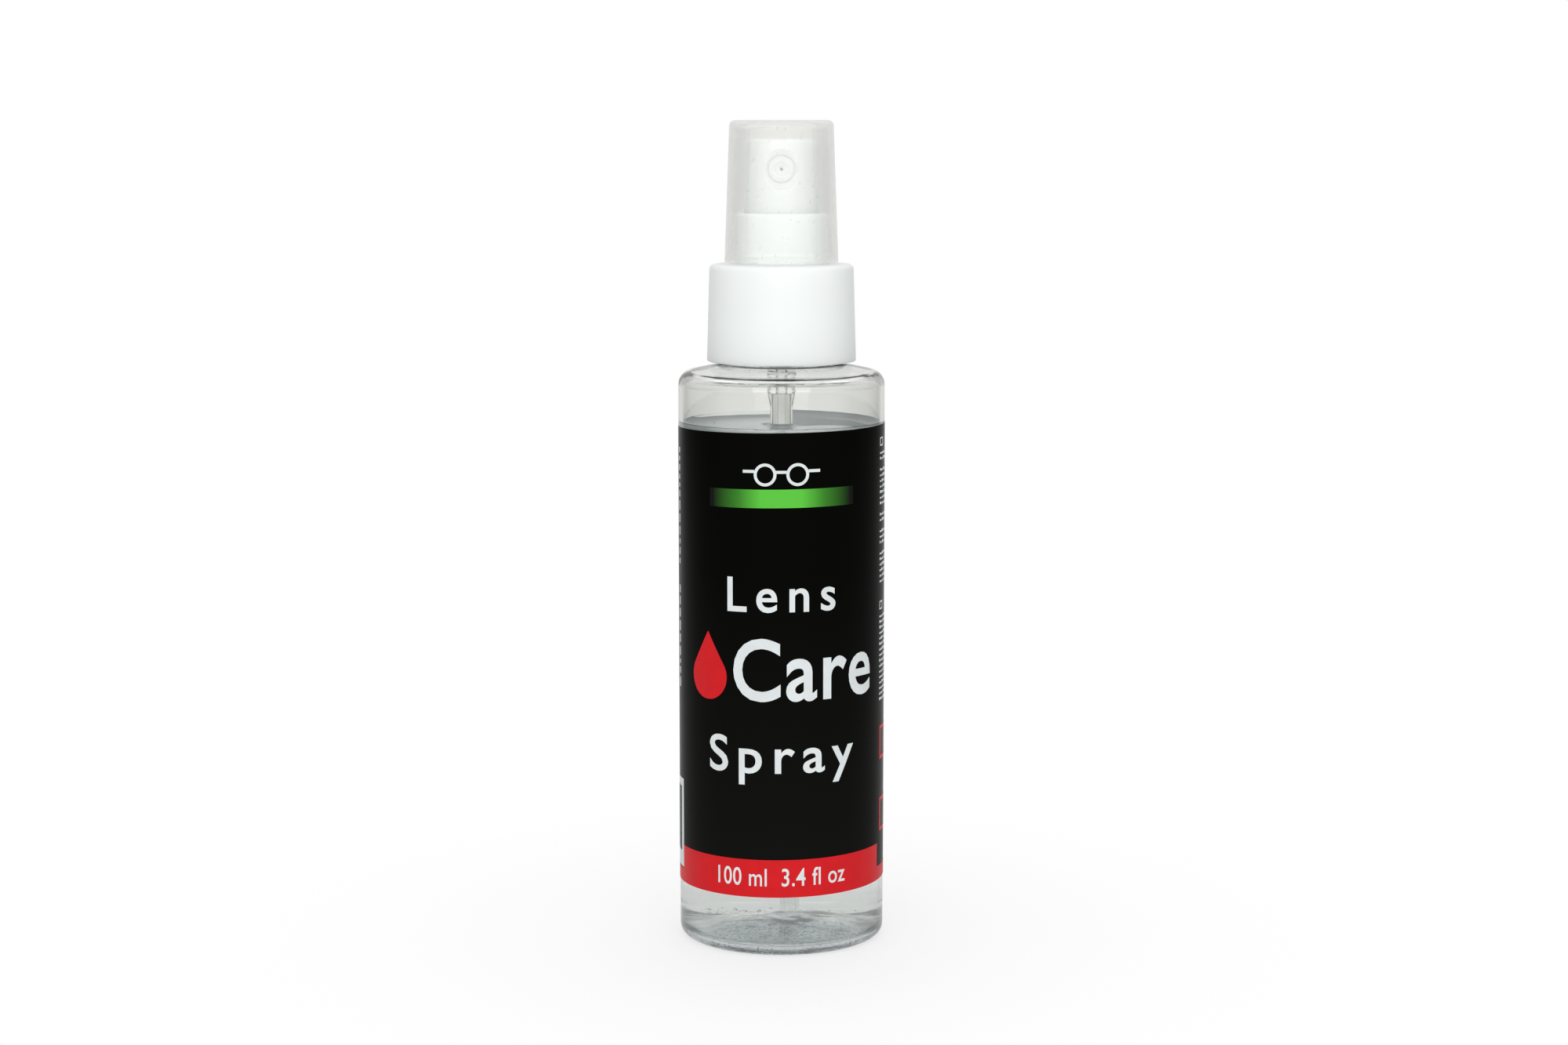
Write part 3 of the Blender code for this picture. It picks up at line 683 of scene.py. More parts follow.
def make_liquid(material):
    """Liquid just proud of the inner wall, so that no film of air shows between the two."""
    floor = BASE_THICKNESS - LIQUID_OVERLAP
    from_tail = (0, 0.15, 0.3, 0.5, 0.8, 1.3, 2)
    from_wall = (6, 4, 3, 2.2, 1.6, 1.1, 0.7, 0.4, 0.2, 0)
    radii = [0] + [TAIL_TIP_RADIUS - LIQUID_OVERLAP + d for d in from_tail]
    radii += [LIQUID_RADIUS - d for d in from_wall]
    outline = base_points(floor)
    heel = [(BASE_RING_INNER, floor), (LIQUID_RADIUS, floor, BASE_FILLET), (LIQUID_RADIUS, 10)]
    outline += rounded(heel, steps=8)[1:]
    outline += [Vector((radius, surface_height(radius))) for radius in reversed(radii)]
    liquid = lathe("liquid", outline, sides=216)
    for vert in liquid.data.vertices:
        if vert.co.z < BASE_TOP * MM:
            vert.co.z += unevenness(vert.co.x / MM, vert.co.y / MM) * MM
    return placed(liquid, "bottle", "cleaning_liquid", material, "cleaning_fluid")


def make_bubbles(material):
    """A few small bubbles that sit at the liquid's edge."""
    bm = bmesh.new()
    spots = [(155, 14.2, 0.2), (162, 15.4, 0.14), (-36, 16.9, 0.16), (70, 15.8, 0.15)]
    for degrees, radius, size in spots:
        angle = math.radians(degrees)
        place = (radius * math.cos(angle), radius * math.sin(angle), surface_height(radius) + size * 0.4)
        made = bmesh.ops.create_icosphere(bm, subdivisions=3, radius=size * MM)
        bmesh.ops.translate(bm, verts=made["verts"], vec=[c * MM for c in place])
    bubbles = finished("bubbles", bm, sharp_degrees=180)
    return placed(bubbles, "bottle", "cleaning_liquid", material)


def make_dip_tube(material):
    """Extruded tube with a slanted lower end, set slightly to one side."""
    levels = 30
    heights = [TUBE_TOP] + [
        TUBE_BEND_START + (TUBE_BOTTOM - TUBE_BEND_START) * i / levels for i in range(levels + 1)
    ]
    outline = [(TUBE_RADIUS, z) for z in heights]
    outline += [(TUBE_BORE, z) for z in reversed(heights)]
    tube = lathe("dip_tube_extruded", outline, sides=40)
    reach = TUBE_BEND_START - TUBE_BOTTOM
    slant = 0.5
    for vert in tube.data.vertices:
        if vert.co.z / MM < TUBE_BOTTOM + 0.1:
            vert.co.z += slant * (vert.co.y + TUBE_RADIUS * MM)
        below = max(0.0, TUBE_BEND_START - vert.co.z / MM)
        vert.co.x += TUBE_BEND * MM * (below / reach) ** 2
    return placed(tube, "pump", "tube_pe", material, "dip_tube")


# Pump


def make_housing(material):
    """Barrel with a rim and a flange, and the tapered tail with its bead."""
    flange_top = HOUSING_TOP - RIM_HEIGHT
    flange_underside = flange_top - FLANGE_THICKNESS
    bead = TAIL_RADIUS + TAIL_BEAD
    outline = rounded(
        [
            (RIM_OUTER, HOUSING_TOP, 0.2),
            (RIM_OUTER, flange_top, 0.2),
            (FLANGE_RADIUS, flange_top, 0.2),
            (FLANGE_RADIUS, flange_underside, 0.2),
            (BARREL_RADIUS, flange_underside, 0.3),
            (BARREL_RADIUS, CHAMBER_FLOOR - 0.7, 0.6),
            (TAIL_RADIUS, TAIL_TOP, 0.5),
            (TAIL_RADIUS, TAIL_BEAD_HEIGHT + 0.5, 0.1),
            (bead, TAIL_BEAD_HEIGHT + 0.2, 0.1),
            (bead, TAIL_BEAD_HEIGHT - 0.2, 0.1),
            (TAIL_RADIUS, TAIL_BEAD_HEIGHT - 0.5, 0.1),
            (TAIL_RADIUS, TAIL_STEP_TOP, 0.8),
            (TAIL_TIP_RADIUS, TAIL_STEP_BOTTOM, 0.8),
            (TAIL_TIP_RADIUS, TAIL_BOTTOM, 0.2),
            (TUBE_SOCKET, TAIL_BOTTOM, 0.2),
            (TUBE_SOCKET, TUBE_SOCKET_TOP, 0.3),
            (INLET_RADIUS, TUBE_SOCKET_TOP, 0.1),
            (INLET_RADIUS, INLET_TOP),
            (BALL_CAGE_RADIUS, BALL_SEAT_HEIGHT),
            (BALL_CAGE_RADIUS, CHAMBER_FLOOR - 0.4),
            (BALL_CAGE_RADIUS + 0.35, CHAMBER_FLOOR),
            (CHAMBER_RADIUS, CHAMBER_FLOOR, 0.2),
            (CHAMBER_RADIUS, CHAMBER_TOP),
            (RIM_INNER, CHAMBER_TOP + 0.7),
            (RIM_INNER, HOUSING_TOP, 0.15),
        ],
        steps=4,
    )
    housing = lathe("pump_barrel", outline, sides=FINE_SIDES)
    return placed(housing, "pump", "housing_pp", material, "pump_housing")


def make_spring(material):
    """Compression spring with closed ends."""
    low = SPRING_BOTTOM + SPRING_WIRE
    high = SPRING_TOP - SPRING_WIRE
    closed = 2.3 * SPRING_WIRE
    pitch = (high - low - 2 * closed) / (SPRING_TURNS - 2)
    mean_radius = SPRING_OUTER - SPRING_WIRE
    rings = []
    for step in range(SPRING_TURNS * SPRING_STEPS + 1):
        turn = step / SPRING_STEPS
        ends = min(turn, 1) + max(0.0, turn - SPRING_TURNS + 1)
        height = low + closed * ends + pitch * (turn - ends)
        section = circle((mean_radius, height), SPRING_WIRE, steps=12)
        angle = 2 * math.pi * turn
        rings.append([(r * math.cos(angle), r * math.sin(angle), z) for r, z in section])
    spring = placed(swept("spring_coil", rings), "pump", "spring_steel", material, "return_spring")
    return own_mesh(spring)


def make_closure(material, lit_through, under_cap):
    """Collar with a turret; its inside and its turret have materials of their own, with painted glow for
    light through the skirt and the overcap.
    """
    outline = rounded(
        [
            (CLOSURE_RADIUS, CLOSURE_BOTTOM, 0.3),
            (CLOSURE_TOP_RADIUS, CLOSURE_DECK, 1.05),
            (TURRET_RADIUS, CLOSURE_DECK, 0.3),
            (TURRET_RADIUS, SNAP_BEAD_HEIGHT - 0.5, 0.2),
            (TURRET_RADIUS + 0.12, SNAP_BEAD_HEIGHT, 0.15),
            (TURRET_RADIUS, SNAP_BEAD_HEIGHT + 0.5, 0.2),
            (TURRET_RADIUS, TURRET_TOP, 0.7),
            (TURRET_BORE, TURRET_TOP, 0.2),
            (TURRET_BORE, CLOSURE_DECK - DECK_THICKNESS, 0.2),
            (CLOSURE_BORE, CLOSURE_DECK - DECK_THICKNESS, 0.3),
            (CLOSURE_BORE, NECK_BEAD_TOP + 1.1),
            (CLOSURE_BORE + 0.3, NECK_BEAD_TOP + 0.6),
            (CLOSURE_BORE + 0.3, CLOSURE_BOTTOM, 0.2),
        ],
        steps=7,
    )
    closure = lathe("screw_closure", outline)
    ridge_start = THREAD_START - THREAD_LEAD / 2
    ridge = thread_ridge(CLOSURE_BORE, CLOSURE_THREAD_CREST, 1.8, 0.7, ridge_start, 1.0)
    combine(closure, "UNION", ridge)
    placed(closure, "closure", "closure_pp", material, "closure")
    closure.data.materials.append(lit_through)
    closure.data.materials.append(under_cap)
    # Inside and underside faces get the lit-through painted glow; the turret under the cap gets white
    # with a faint painted glow.
    for face in closure.data.polygons:
        x, y, z = (c / MM for c in face.center)
        inside = math.hypot(x, y) < CLOSURE_BORE + 0.4 and z < CLOSURE_DECK - DECK_THICKNESS + 0.1
        if inside or z < CLOSURE_BOTTOM + 0.1:
            face.material_index = 1
        elif z > CLOSURE_DECK + 0.3:
            face.material_index = 2
    return closure


def cap_inner(height):
    """Radius of the overcap's inside wall at a height."""
    taper = (CAP_RADIUS - CAP_TOP_RADIUS) / (CAP_TOP - CAP_BOTTOM)
    return CAP_TOP_RADIUS - CAP_WALL + taper * (CAP_TOP - height)


def make_overcap(material):
    """Tapered cup with a snap bead inside its rim and a gate stub under its top."""
    ceiling = CAP_TOP - CAP_TOP_WALL
    bead = TURRET_RADIUS + 0.6
    stub, stub_end = 1.0, ceiling - 0.8
    outline = rounded(
        [
            (0, CAP_TOP),
            (CAP_TOP_RADIUS, CAP_TOP, 1.0),
            (CAP_RADIUS, CAP_BOTTOM, 0.3),
            (cap_inner(CAP_BOTTOM), CAP_BOTTOM, 0.15),
            (bead, CAP_BOTTOM + 0.4, 0.15),
            (bead, CAP_BOTTOM + 0.8, 0.15),
            (cap_inner(CAP_BOTTOM + 1.2), CAP_BOTTOM + 1.2, 0.3),
            (cap_inner(ceiling), ceiling, 0.7),
            (stub + 0.05, ceiling, 0.15),
            (stub, stub_end, 0.25),
            (0, stub_end),
        ],
        steps=7,
    )
    cap = lathe("overcap_shell", outline)
    return placed(cap, "overcap", "overcap_pp", material, "overcap")


def button_hollow():
    """Space inside the button, round the stem's socket and the block behind the nozzle."""
    below = BUTTON_BOTTOM - 1
    socket_end = BUTTON_BOTTOM + 2
    wall = BUTTON_TOP_RADIUS - BUTTON_WALL
    channel, channel_top = 1.1, NOZZLE_HEIGHT + 0.8
    hollow = lathe(
        "hollow",
        [
            (0, below),
            (BUTTON_SKIRT - BUTTON_WALL, below),
            (wall, BUTTON_CEILING - 0.3),
            (wall - 0.3, BUTTON_CEILING),
            (STEM_SOCKET, BUTTON_CEILING),
            (STEM_SOCKET, socket_end),
            (STEM_BORE, socket_end),
            (STEM_BORE, STEM_END),
            (channel, STEM_END),
            (channel, channel_top),
            (0, channel_top),
        ],
        sides=FINE_SIDES,
    )
    back = STEM_SOCKET - 0.5
    block = lathe(
        "block",
        [(0, back), (BLOCK_RADIUS, back), (BLOCK_RADIUS, PAST_FRONT), (0, PAST_FRONT)],
        sides=FINE_SIDES,
    )
    return combine(hollow, "DIFFERENCE", facing_front(block, NOZZLE_HEIGHT))


def nozzle_socket():
    """Pocket that the nozzle sits in, its feed hole and the flared recess in front."""
    feed = 0.5
    pocket = NOZZLE_RADIUS + 0.015
    pocket_floor = NOZZLE_FACE - 2.8
    socket = lathe(
        "socket",
        [
            (0, 0.4),
            (feed, 0.4),
            (feed, pocket_floor),
            (pocket, pocket_floor),
            (pocket, NOZZLE_FACE - 0.12),
            (NOZZLE_RECESS - 0.2, NOZZLE_FACE),
            (NOZZLE_RECESS + 0.5, NOZZLE_FACE + 0.3),
            (NOZZLE_RECESS + 0.8, PAST_FRONT),
            (0, PAST_FRONT),
        ],
        sides=FINE_SIDES,
    )
    return facing_front(socket, NOZZLE_HEIGHT)


def make_actuator(material):
    """Finger button: dished top, hollow inside, with the nozzle's socket in its front."""
    outline = rounded(
        [
            (0, BUTTON_TOP - BUTTON_DISH),
            (1.4, BUTTON_TOP - 0.94 * BUTTON_DISH),
            (2.8, BUTTON_TOP - 0.75 * BUTTON_DISH),
            (4.2, BUTTON_TOP - 0.35 * BUTTON_DISH),
            (5.1, BUTTON_TOP, 0.8),
            (BUTTON_TOP_RADIUS, BUTTON_TOP - 0.05, 0.85),
            (BUTTON_SKIRT, BUTTON_BOTTOM, 0.25),
            (0, BUTTON_BOTTOM),
        ],
        steps=7,
    )
    button = lathe("actuator_button", outline)
    combine(button, "DIFFERENCE", button_hollow())
    combine(button, "DIFFERENCE", nozzle_socket())
    return placed(button, "button", "actuator_pp", material, "actuator")


def make_nozzle(material):
    """Swirl insert: cup with a dished face, a raised lip and a fine orifice."""
    cup, lip, orifice = 1.5, 1.35, 0.2
    back = NOZZLE_FACE - 2.5
    cup_floor = NOZZLE_FACE - 0.85
    outline = rounded(
        [
            (cup, back),
            (NOZZLE_RADIUS, back, 0.15),
            (NOZZLE_RADIUS, NOZZLE_FACE, 0.25),
            (lip, NOZZLE_FACE, 0.15),
            (lip - 0.2, NOZZLE_FACE - 0.18, 0.08),
            (0.55, NOZZLE_FACE - 0.22, 0.08),
            (orifice, NOZZLE_FACE - 0.5),
            (orifice, cup_floor),
            (cup, cup_floor),
        ],
        steps=5,
    )
    nozzle = facing_front(lathe("swirl_insert", outline, sides=FINE_SIDES), NOZZLE_HEIGHT)
    return placed(nozzle, "button", "insert_pom", material, "nozzle_insert")


# Label and its print


def on_label(u, v, lift):
    """Point of the label in metres, at u round it, v up it and lift above its face."""
    angle = u / LABEL_RADIUS
    radius = LABEL_RADIUS + lift
    height = v + u * LABEL_SKEW
    return Vector((radius * math.sin(angle), -radius * math.cos(angle), height)) * MM


def wrapped(name, polygons, inner_lift, outer_lift):
    """Thin closed sheet round the label from flat (u, v) polygons."""
    bm = bmesh.new()
    for polygon in polygons:
        bm.faces.new([bm.verts.new((u, v, 0)) for u, v in polygon])
    bmesh.ops.remove_doubles(bm, verts=bm.verts, dist=1e-4)
    reach = [vert.co.x for vert in bm.verts]
    first = math.ceil(min(reach) / WRAP_STEP)
    last = math.floor(max(reach) / WRAP_STEP)
    for step in range(first, last + 1):
        geometry = bm.verts[:] + bm.edges[:] + bm.faces[:]
        place = (step * WRAP_STEP, 0, 0)
        bmesh.ops.bisect_plane(bm, geom=geometry, plane_co=place, plane_no=(1, 0, 0))
    raised = bmesh.ops.extrude_face_region(bm, geom=bm.faces[:])
    for item in raised["geom"]:
        if isinstance(item, bmesh.types.BMVert):
            item.co.z = 1
    for vert in bm.verts:
        lift = outer_lift if vert.co.z > 0.5 else inner_lift
        vert.co = on_label(vert.co.x, vert.co.y, lift)
    return finished(name, bm)


def rectangle(left, bottom, right, top):
    return [(left, bottom), (right, bottom), (right, top), (left, top)]


def circle(centre, radius, steps=40, start=0.0, turn=2 * math.pi):
    angles = [start + turn * i / steps for i in range(steps)]
    return [(centre[0] + radius * math.cos(a), centre[1] + radius * math.sin(a)) for a in angles]


def ring(outer, inner):
    """Quads between two loops with the same number of points."""
    return [[outer[i - 1], outer[i], inner[i], inner[i - 1]] for i in range(len(outer))]


def frame_of(left, bottom, right, top, line):
    outer = rectangle(left, bottom, right, top)
    return ring(outer, rectangle(left + line, bottom + line, right - line, top - line))


def lettering(words, left, bottom, right, top, spacing=1.0, weight=0.012):
    """Polygons of plain lettering fitted into a rectangle of the label."""
    curve = bpy.data.curves.new("lettering", "FONT")
    curve.body = words
    curve.space_character = spacing
    curve.offset = weight
    curve.resolution_u = 5
    written = link("lettering", curve)
    bpy.context.view_layer.update()
    shaped = written.evaluated_get(bpy.context.evaluated_depsgraph_get())
    mesh = bpy.data.meshes.new_from_object(shaped)
    points = [vert.co for vert in mesh.vertices]
    low_x, high_x = min(p.x for p in points), max(p.x for p in points)
    low_y, high_y = min(p.y for p in points), max(p.y for p in points)
    wide = (right - left) / (high_x - low_x)
    tall = (top - bottom) / (high_y - low_y)
    fitted = [(left + (p.x - low_x) * wide, bottom + (p.y - low_y) * tall) for p in points]
    polygons = [[fitted[i] for i in face.vertices] for face in mesh.polygons]
    bpy.data.objects.remove(written, do_unlink=True)
    return polygons


def droplet(centre, radius, tip):
    """Plain drop: a round lower part drawn up into a point."""
    spread = math.acos(radius / tip)
    start = math.pi / 2 + spread
    turn = 2 * math.pi - 2 * spread
    steps = 40
    angles = [start + turn * i / steps for i in range(steps + 1)]
    round_part = [(centre[0] + radius * math.cos(a), centre[1] + radius * math.sin(a)) for a in angles]
    return round_part + [(centre[0], centre[1] + tip)]


def spectacles(centre, lens_radius, line):
    """Pair of glasses seen from the front, as a plain pictogram."""
    arm, arm_foot, bridge_foot = 2.2, centre[1] + 0.35, centre[1] + 0.2
    polygons = []
    for side in (-1, 1):
        middle = (centre[0] + side * (lens_radius + 0.9), centre[1])
        polygons += ring(circle(middle, lens_radius), circle(middle, lens_radius - line))
        outer = middle[0] + side * (lens_radius - 0.1)
        low, high = sorted((outer, outer + side * arm))
        polygons.append(rectangle(low, arm_foot, high, arm_foot + line))
    polygons.append(rectangle(centre[0] - 1.0, bridge_foot, centre[0] + 1.0, bridge_foot + line))
    return polygons


def text_lines(left, bottom, right, top, pitch, height, seed):
    """Rows of short bars that stand for small print too fine to read."""
    chance = random.Random(seed)
    polygons = []
    row = top - height
    while row >= bottom:
        place = left
        stop = right if chance.random() < 0.8 else left + (right - left) * 0.6
        while place < stop - 0.6:
            width = min(chance.uniform(0.35, 1.1), stop - place)
            tall = height * chance.choice((0.65, 0.65, 1.0))
            polygons.append(rectangle(place, row, place + width, row + tall))
            place += width + chance.choice((0.15, 0.15, 0.4))
        row -= pitch * chance.choice((1, 1, 1, 1, 2))
    return polygons


def striped_panel(left, bottom, right, top, seed):
    """Upright bars of uneven width."""
    chance = random.Random(seed)
    polygons = []
    place = left
    while place < right - 0.3:
        width = chance.choice((0.2, 0.2, 0.4, 0.6))
        polygons.append(rectangle(place, bottom, place + width, top))
        place += width + chance.choice((0.2, 0.3, 0.5))
    return polygons


def make_backing(backings):
    """Pale side of the film, with a material for each of its bands, so that its painted glow steps down
    from band to band.
    """
    step = (LABEL_TOP - LABEL_BOTTOM) / len(backings)
    lows = [LABEL_BOTTOM + step * i for i in range(len(backings))]
    bands = [rectangle(MARGIN_LEFT, low, LABEL_RIGHT, low + step) for low in lows]
    lining = wrapped("label_backing", bands, -BACKING_DEPTH, -LABEL_FILM - BACKING_GAP)
    placed(lining, "bottle", "label_film", backings[0])
    for backing in backings[1:]:
        lining.data.materials.append(backing)
    for face in lining.data.polygons:
        band = int((face.center.z / MM - LABEL_BOTTOM) / step)
        face.material_index = min(max(band, 0), len(backings) - 1)


def red_band():
    """High on the label's front and low on its sides and back."""
    strip_top = LABEL_BOTTOM + 2.6
    return [
        rectangle(SIDE_LEFT, LABEL_BOTTOM, SIDE_RIGHT, BAND_TOP),
        rectangle(LABEL_LEFT, LABEL_BOTTOM, SIDE_LEFT, strip_top),
        rectangle(SIDE_RIGHT, LABEL_BOTTOM, LABEL_RIGHT, strip_top),
    ]


def make_label(film, red, white, green, backings):
    """Film with its printed areas; everything on it rides with the bottle."""
    whole = rectangle(LABEL_LEFT, LABEL_BOTTOM, LABEL_RIGHT, LABEL_TOP)
    sheet = wrapped("label_film", [whole], -LABEL_FILM, 0)
    placed(sheet, "bottle", "label_film", film, "label")
    make_backing(backings)
    prints = {
        "print_red_band": (red, red_band()),
        "print_green_bar": (green, [rectangle(-14.4, 84.1, 14.4, 87.5)]),
        "print_pictogram": (white, spectacles((0, 90.2), 2.1, 0.55)),
        "print_word_upper": (white, lettering("Lens", -10.4, 64.8, 10.4, 71.3, spacing=1.35)),
        "print_word_middle": (white, lettering("Care", -9.2, 48.2, 19.6, 60.0, 1.06, 0.014)),
        "print_word_lower": (white, lettering("Spray", -14.6, 32.6, 14.6, 41.7, spacing=1.3)),
        "print_droplet": (red, [droplet((-15.0, 52.4), 4.4, 8.4)]),
        "print_small_text": (white, side_print()),
        "print_code_panel": (white, [rectangle(-50.0, 14.2, SIDE_LEFT, 31.2)]),
        "print_symbol_frames": (red, symbol_frames()),
    }
    for name, (ink, polygons) in prints.items():
        placed(wrapped(name, polygons, INK_GAP, INK), "bottle", "label_film", ink)
    volume = lettering("100 ml  3.4 fl oz", -12.6, 13.5, 12.6, 16.9, spacing=1.05, weight=0.008)
    placed(wrapped("print_volume", volume, INK, 2 * INK), "bottle", "label_film", white)
    stripes = striped_panel(-48.0, 17.2, SIDE_LEFT - 1.6, 29.6, 11)
    placed(wrapped("print_code_stripes", stripes, INK, 2 * INK), "bottle", "label_film", film)


def side_print():
    """Small print on the label's sides and back."""
    right = math.radians(71) * LABEL_RADIUS
    polygons = []
    for top, bottom, seed in ((95.4, 67.4, 1), (64.6, 45.0, 2)):
        polygons += frame_of(right, top - 1.6, right + 1.9, top, 0.25)
        polygons += text_lines(right, bottom, right + 15.0, top - 2.6, 1.05, 0.5, seed)
    polygons += text_lines(right + 18.0, 24.0, right + 34.0, 95.0, 1.05, 0.5, 3)
    left = math.radians(-75) * LABEL_RADIUS
    for column, top, bottom, seed in ((0, 94.0, 73.0, 4), (0, 68.0, 49.0, 5), (1, 94.0, 49.0, 6)):
        place = left - 1.6 - 2.4 * column
        chance = random.Random(seed)
        height = top
        while height > bottom:
            size = chance.uniform(0.7, 1.9)
            polygons.append(rectangle(place, height - size, place + 0.75, height))
            height -= size + 0.7
    polygons += text_lines(LABEL_LEFT + 3.0, 36.0, left - 9.0, 95.0, 1.3, 0.6, 7)
    return polygons


def symbol_frames():
    """Two empty upright frames beside the small print."""
    left = math.radians(72) * LABEL_RADIUS
    polygons = []
    for bottom in (34.4, 20.6):
        polygons += frame_of(left, bottom, left + 6.4, bottom + 6.4, 0.6)
    return polygons


# Pieces that keep their CAD shape


def finish_inner_parts(white, soft):
    looks = {
        "retaining_ring": (white, "white_pp"),
        "stem": (white, "white_pp"),
        "stem_core": (white, "white_pp"),
        "piston": (soft, "piston_pe"),
        "neck_gasket": (soft_polymer("gasket_foam", (0.86, 0.86, 0.82), 0.6), "gasket_foam"),
        "inlet_ball": (steel("ball_steel", 0.1, (1, 1, 1)), "ball_steel"),
    }
    for node, (material, slot) in looks.items():
        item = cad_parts[node]
        item.data.materials.clear()
        item.data.materials.append(material)


# Stage


def seen_directly(nodes, links):
    """One where the camera sees a surface itself; zero through the object and in its light."""
    path = nodes.new("ShaderNodeLightPath")
    clear = math_node(nodes, links, "LESS_THAN", path.outputs["Transparent Depth"], 0.5)
    return math_node(nodes, links, "MULTIPLY", clear, path.outputs["Is Camera Ray"])


def pale_floor():
    """The camera sees it nearly white; the object's light and refractions see it greyer."""
    material = bpy.data.materials.new("pale_floor")
    material.use_nodes = True
    nodes, links = material.node_tree.nodes, material.node_tree.links
    shader = nodes["Principled BSDF"]
    shader.inputs["Roughness"].default_value = 0.7
    glow = nodes.new("ShaderNodeEmission")
    glow.inputs["Color"].default_value = (1, 1, 1, 1)
    direct = seen_directly(nodes, links)
    tone = nodes.new("ShaderNodeMix")
    tone.data_type = "RGBA"
    tone.inputs["A"].default_value = (0.7, 0.7, 0.7, 1)
    tone.inputs["B"].default_value = (0.97, 0.97, 0.97, 1)
    links.new(direct, tone.inputs["Factor"])
    links.new(tone.outputs["Result"], shader.inputs["Base Color"])
    place = nodes.new("ShaderNodeTexCoord")
    distance = nodes.new("ShaderNodeVectorMath")
    distance.operation = "LENGTH"
    links.new(place.outputs["Object"], distance.inputs[0])
    away = distance.outputs["Value"]
    seen = soft_step(nodes, links, away, limits=(0.02, 0.12), results=(0.66, 1.0))
    unseen = soft_step(nodes, links, away, limits=(0.018, 0.024), results=(0.55, 0.35))
    glowing = nodes.new("ShaderNodeMix")
    mix = nodes.new("ShaderNodeMixShader")
    links.new(unseen, glowing.inputs["A"])
    links.new(direct, glowing.inputs["Factor"])
    links.new(seen, glowing.inputs["B"])
    links.new(glowing.outputs["Result"], mix.inputs["Fac"])
    links.new(shader.outputs["BSDF"], mix.inputs[1])
    links.new(glow.outputs["Emission"], mix.inputs[2])
    links.new(mix.outputs["Shader"], nodes["Material Output"].inputs["Surface"])
    return material


def make_floor():
    """Pale round floor whose far part blends into the plain background."""
    bm = bmesh.new()
    bmesh.ops.create_circle(bm, cap_ends=True, segments=96, radius=FLOOR_RADIUS * MM)
    floor = finished("floor", bm)
    floor.location = (0, 0, FLOOR_HEIGHT * MM)
    floor.data.materials.append(pale_floor())


def grey_blend(nodes, links, share, first, level):
    """Colour that turns from the first one into a plain grey level."""
    node = nodes.new("ShaderNodeMix")
    node.data_type = "RGBA"
    links.new(share, node.inputs["Factor"])
    links.new(first, node.inputs["A"])
    node.inputs["B"].default_value = (level, level, level, 1)
    return node.outputs["Result"]


def make_world():
    """White background with, for reflections and light, a soft studio round the object."""
    world = bpy.data.worlds.new("studio")
    bpy.context.scene.world = world
    world.use_nodes = True
    nodes, links = world.node_tree.nodes, world.node_tree.links
    place = nodes.new("ShaderNodeTexCoord")
    split = nodes.new("ShaderNodeSeparateXYZ")
    links.new(place.outputs["Generated"], split.inputs["Vector"])
    azimuth = math_node(nodes, links, "ARCTAN2", split.outputs["X"], split.outputs["Y"])
    turned = math_node(nodes, links, "ABSOLUTE", azimuth)
    half_turns = math_node(nodes, links, "DIVIDE", turned, math.pi)
    stops = [(turn, (level, level, 0.985 * level)) for turn, level in WALL_LEVELS]
    walls = colour_ramp(nodes, links, half_turns, stops, "EASE")
    lift = soft_step(nodes, links, split.outputs["Z"], limits=(0.2, 0.7), results=(0.0, 1.0))
    room = grey_blend(nodes, links, lift, walls, CEILING_LEVEL)
    seen = grey_blend(nodes, links, seen_directly(nodes, links), room, 1.0)
    links.new(seen, nodes["Background"].inputs["Color"])


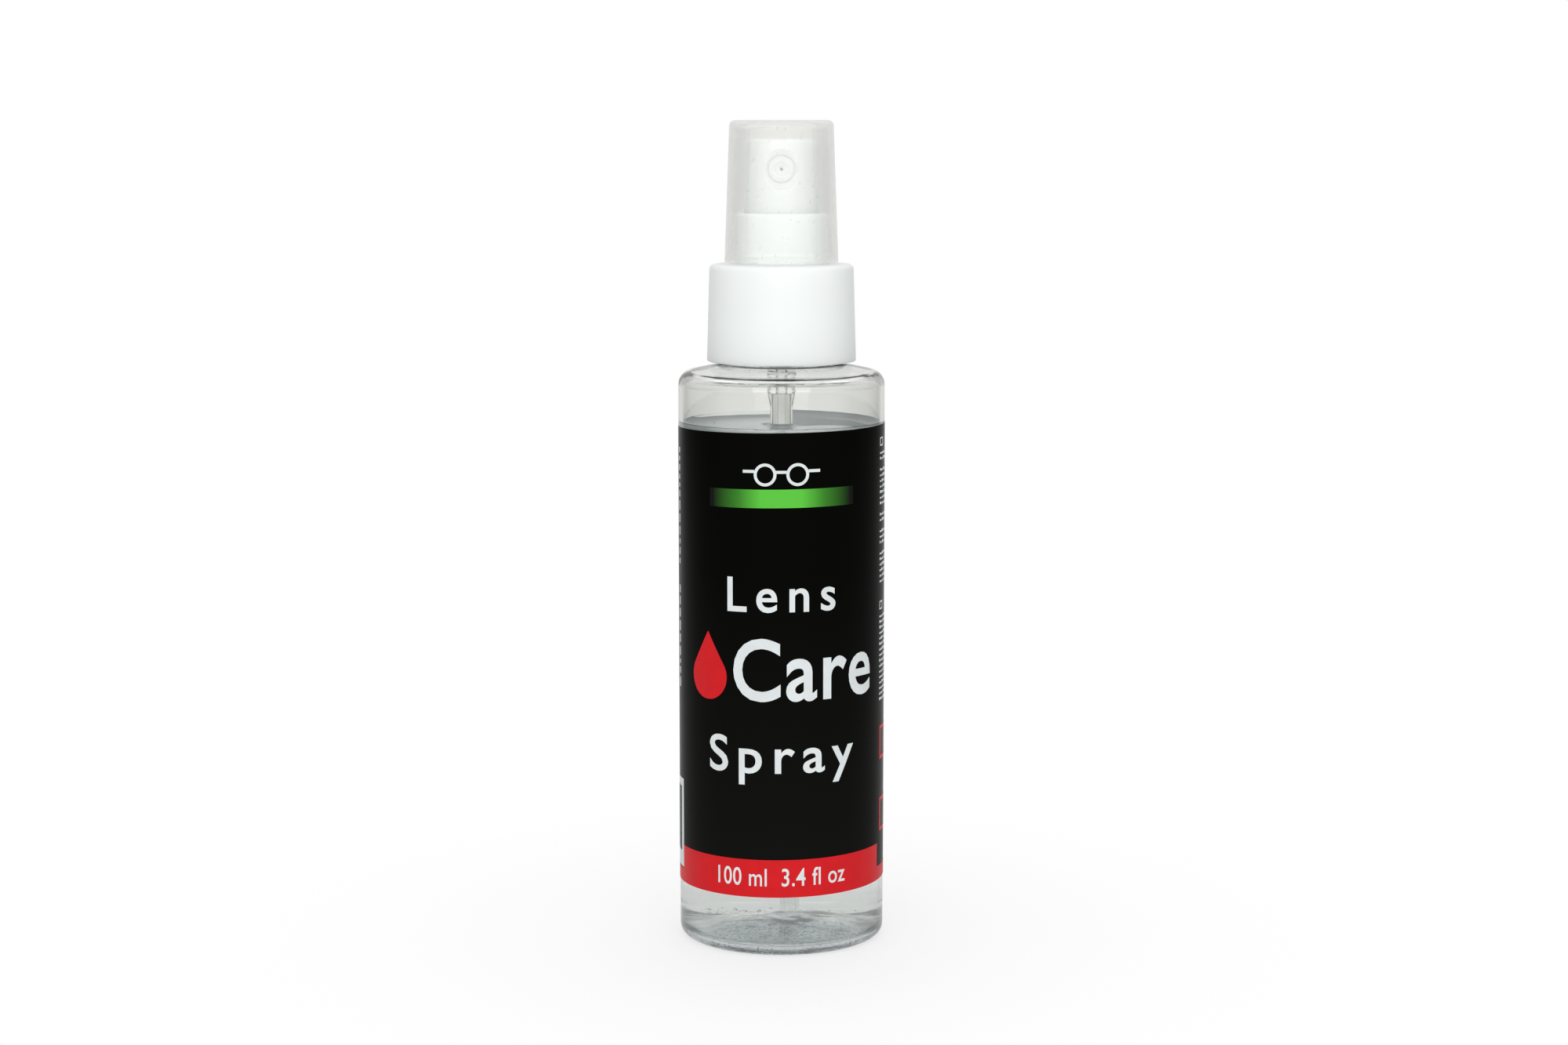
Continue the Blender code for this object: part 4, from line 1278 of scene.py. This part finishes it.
def add_softbox(name, place, size, power):
    light = bpy.data.lights.new(name, "AREA")
    light.shape = "RECTANGLE"
    light.size, light.size_y = size
    light.energy = power
    lamp = bpy.data.objects.new(name, light)
    lamp.location = place
    target = Vector((0, 0, 0.08))
    lamp.rotation_euler = (target - lamp.location).to_track_quat("-Z", "Y").to_euler()
    bpy.context.scene.collection.objects.link(lamp)


def make_lights():
    add_softbox("front_left", (-0.4, -1.3, 0.6), (0.8, 0.9), 3.65)
    add_softbox("front_right", (0.4, -1.3, 0.6), (0.8, 0.9), 3.65)
    add_softbox("top_back", (0.0, 0.7, 1.2), (1.0, 0.6), 1.2)


def make_camera():
    camera = bpy.data.cameras.new("camera")
    camera.lens = CAMERA_LENS
    camera.sensor_width = 36
    camera.clip_start = 0.01
    item = bpy.data.objects.new("camera", camera)
    item.location = (CAMERA_SIDE * MM, -CAMERA_DISTANCE * MM, CAMERA_HEIGHT * MM)
    item.rotation_euler = (math.radians(90) - CAMERA_TILT, 0, 0)
    bpy.context.scene.collection.objects.link(item)
    bpy.context.scene.camera = item


def main():
    bpy.context.scene.view_settings.view_transform = "Standard"
    make_camera()
    make_world()
    make_lights()
    make_floor()

    liquid = cleaning_liquid()
    white = white_plastic("white_polypropylene")
    tube = natural_plastic("natural_polyethylene", (0.94, 0.95, 0.94), 0.2, 0.75, 0.26, ior=1.2)
    make_bottle(clear_pet(), moulded_pet())
    make_liquid(liquid)
    make_bubbles(liquid)
    make_dip_tube(tube)
    make_housing(natural_plastic("housing_polypropylene", (0.96, 0.97, 0.96), 0.05, 1.0, 1.0))
    make_spring(steel("spring_steel", 0.25, (1, 1, 1)))
    # Turret under the overcap: white with a faint painted glow for light that the cover scatters.
    make_closure(white, white_lit_through(), white_plastic("white_turret_painted_glow", glow=0.08))
    make_overcap(natural_plastic("overcap_polypropylene", (0.985, 0.99, 0.955), 0.26, 0.65, 0.235))
    # Button and nozzle insert under the overcap: white with a faint painted glow.
    make_actuator(white_plastic("white_button_painted_glow", glow=0.05))
    make_nozzle(white_plastic("white_acetal_painted_glow", (0.86, 0.875, 0.865), 0.3, glow=0.05))
    finish_inner_parts(white, soft_polymer("piston_polyethylene", (0.84, 0.84, 0.80), 1.5))
    make_label(
        label_film(),
        printed("ink_red", (0.63, 0.013, 0.018)),
        printed("ink_white", (0.71, 0.75, 0.76)),
        printed_fade("ink_green", (0.1, 0.52, 0.05), 12.6),
        [label_back_painted_glow(band) for band in range(4)],
    )


main()
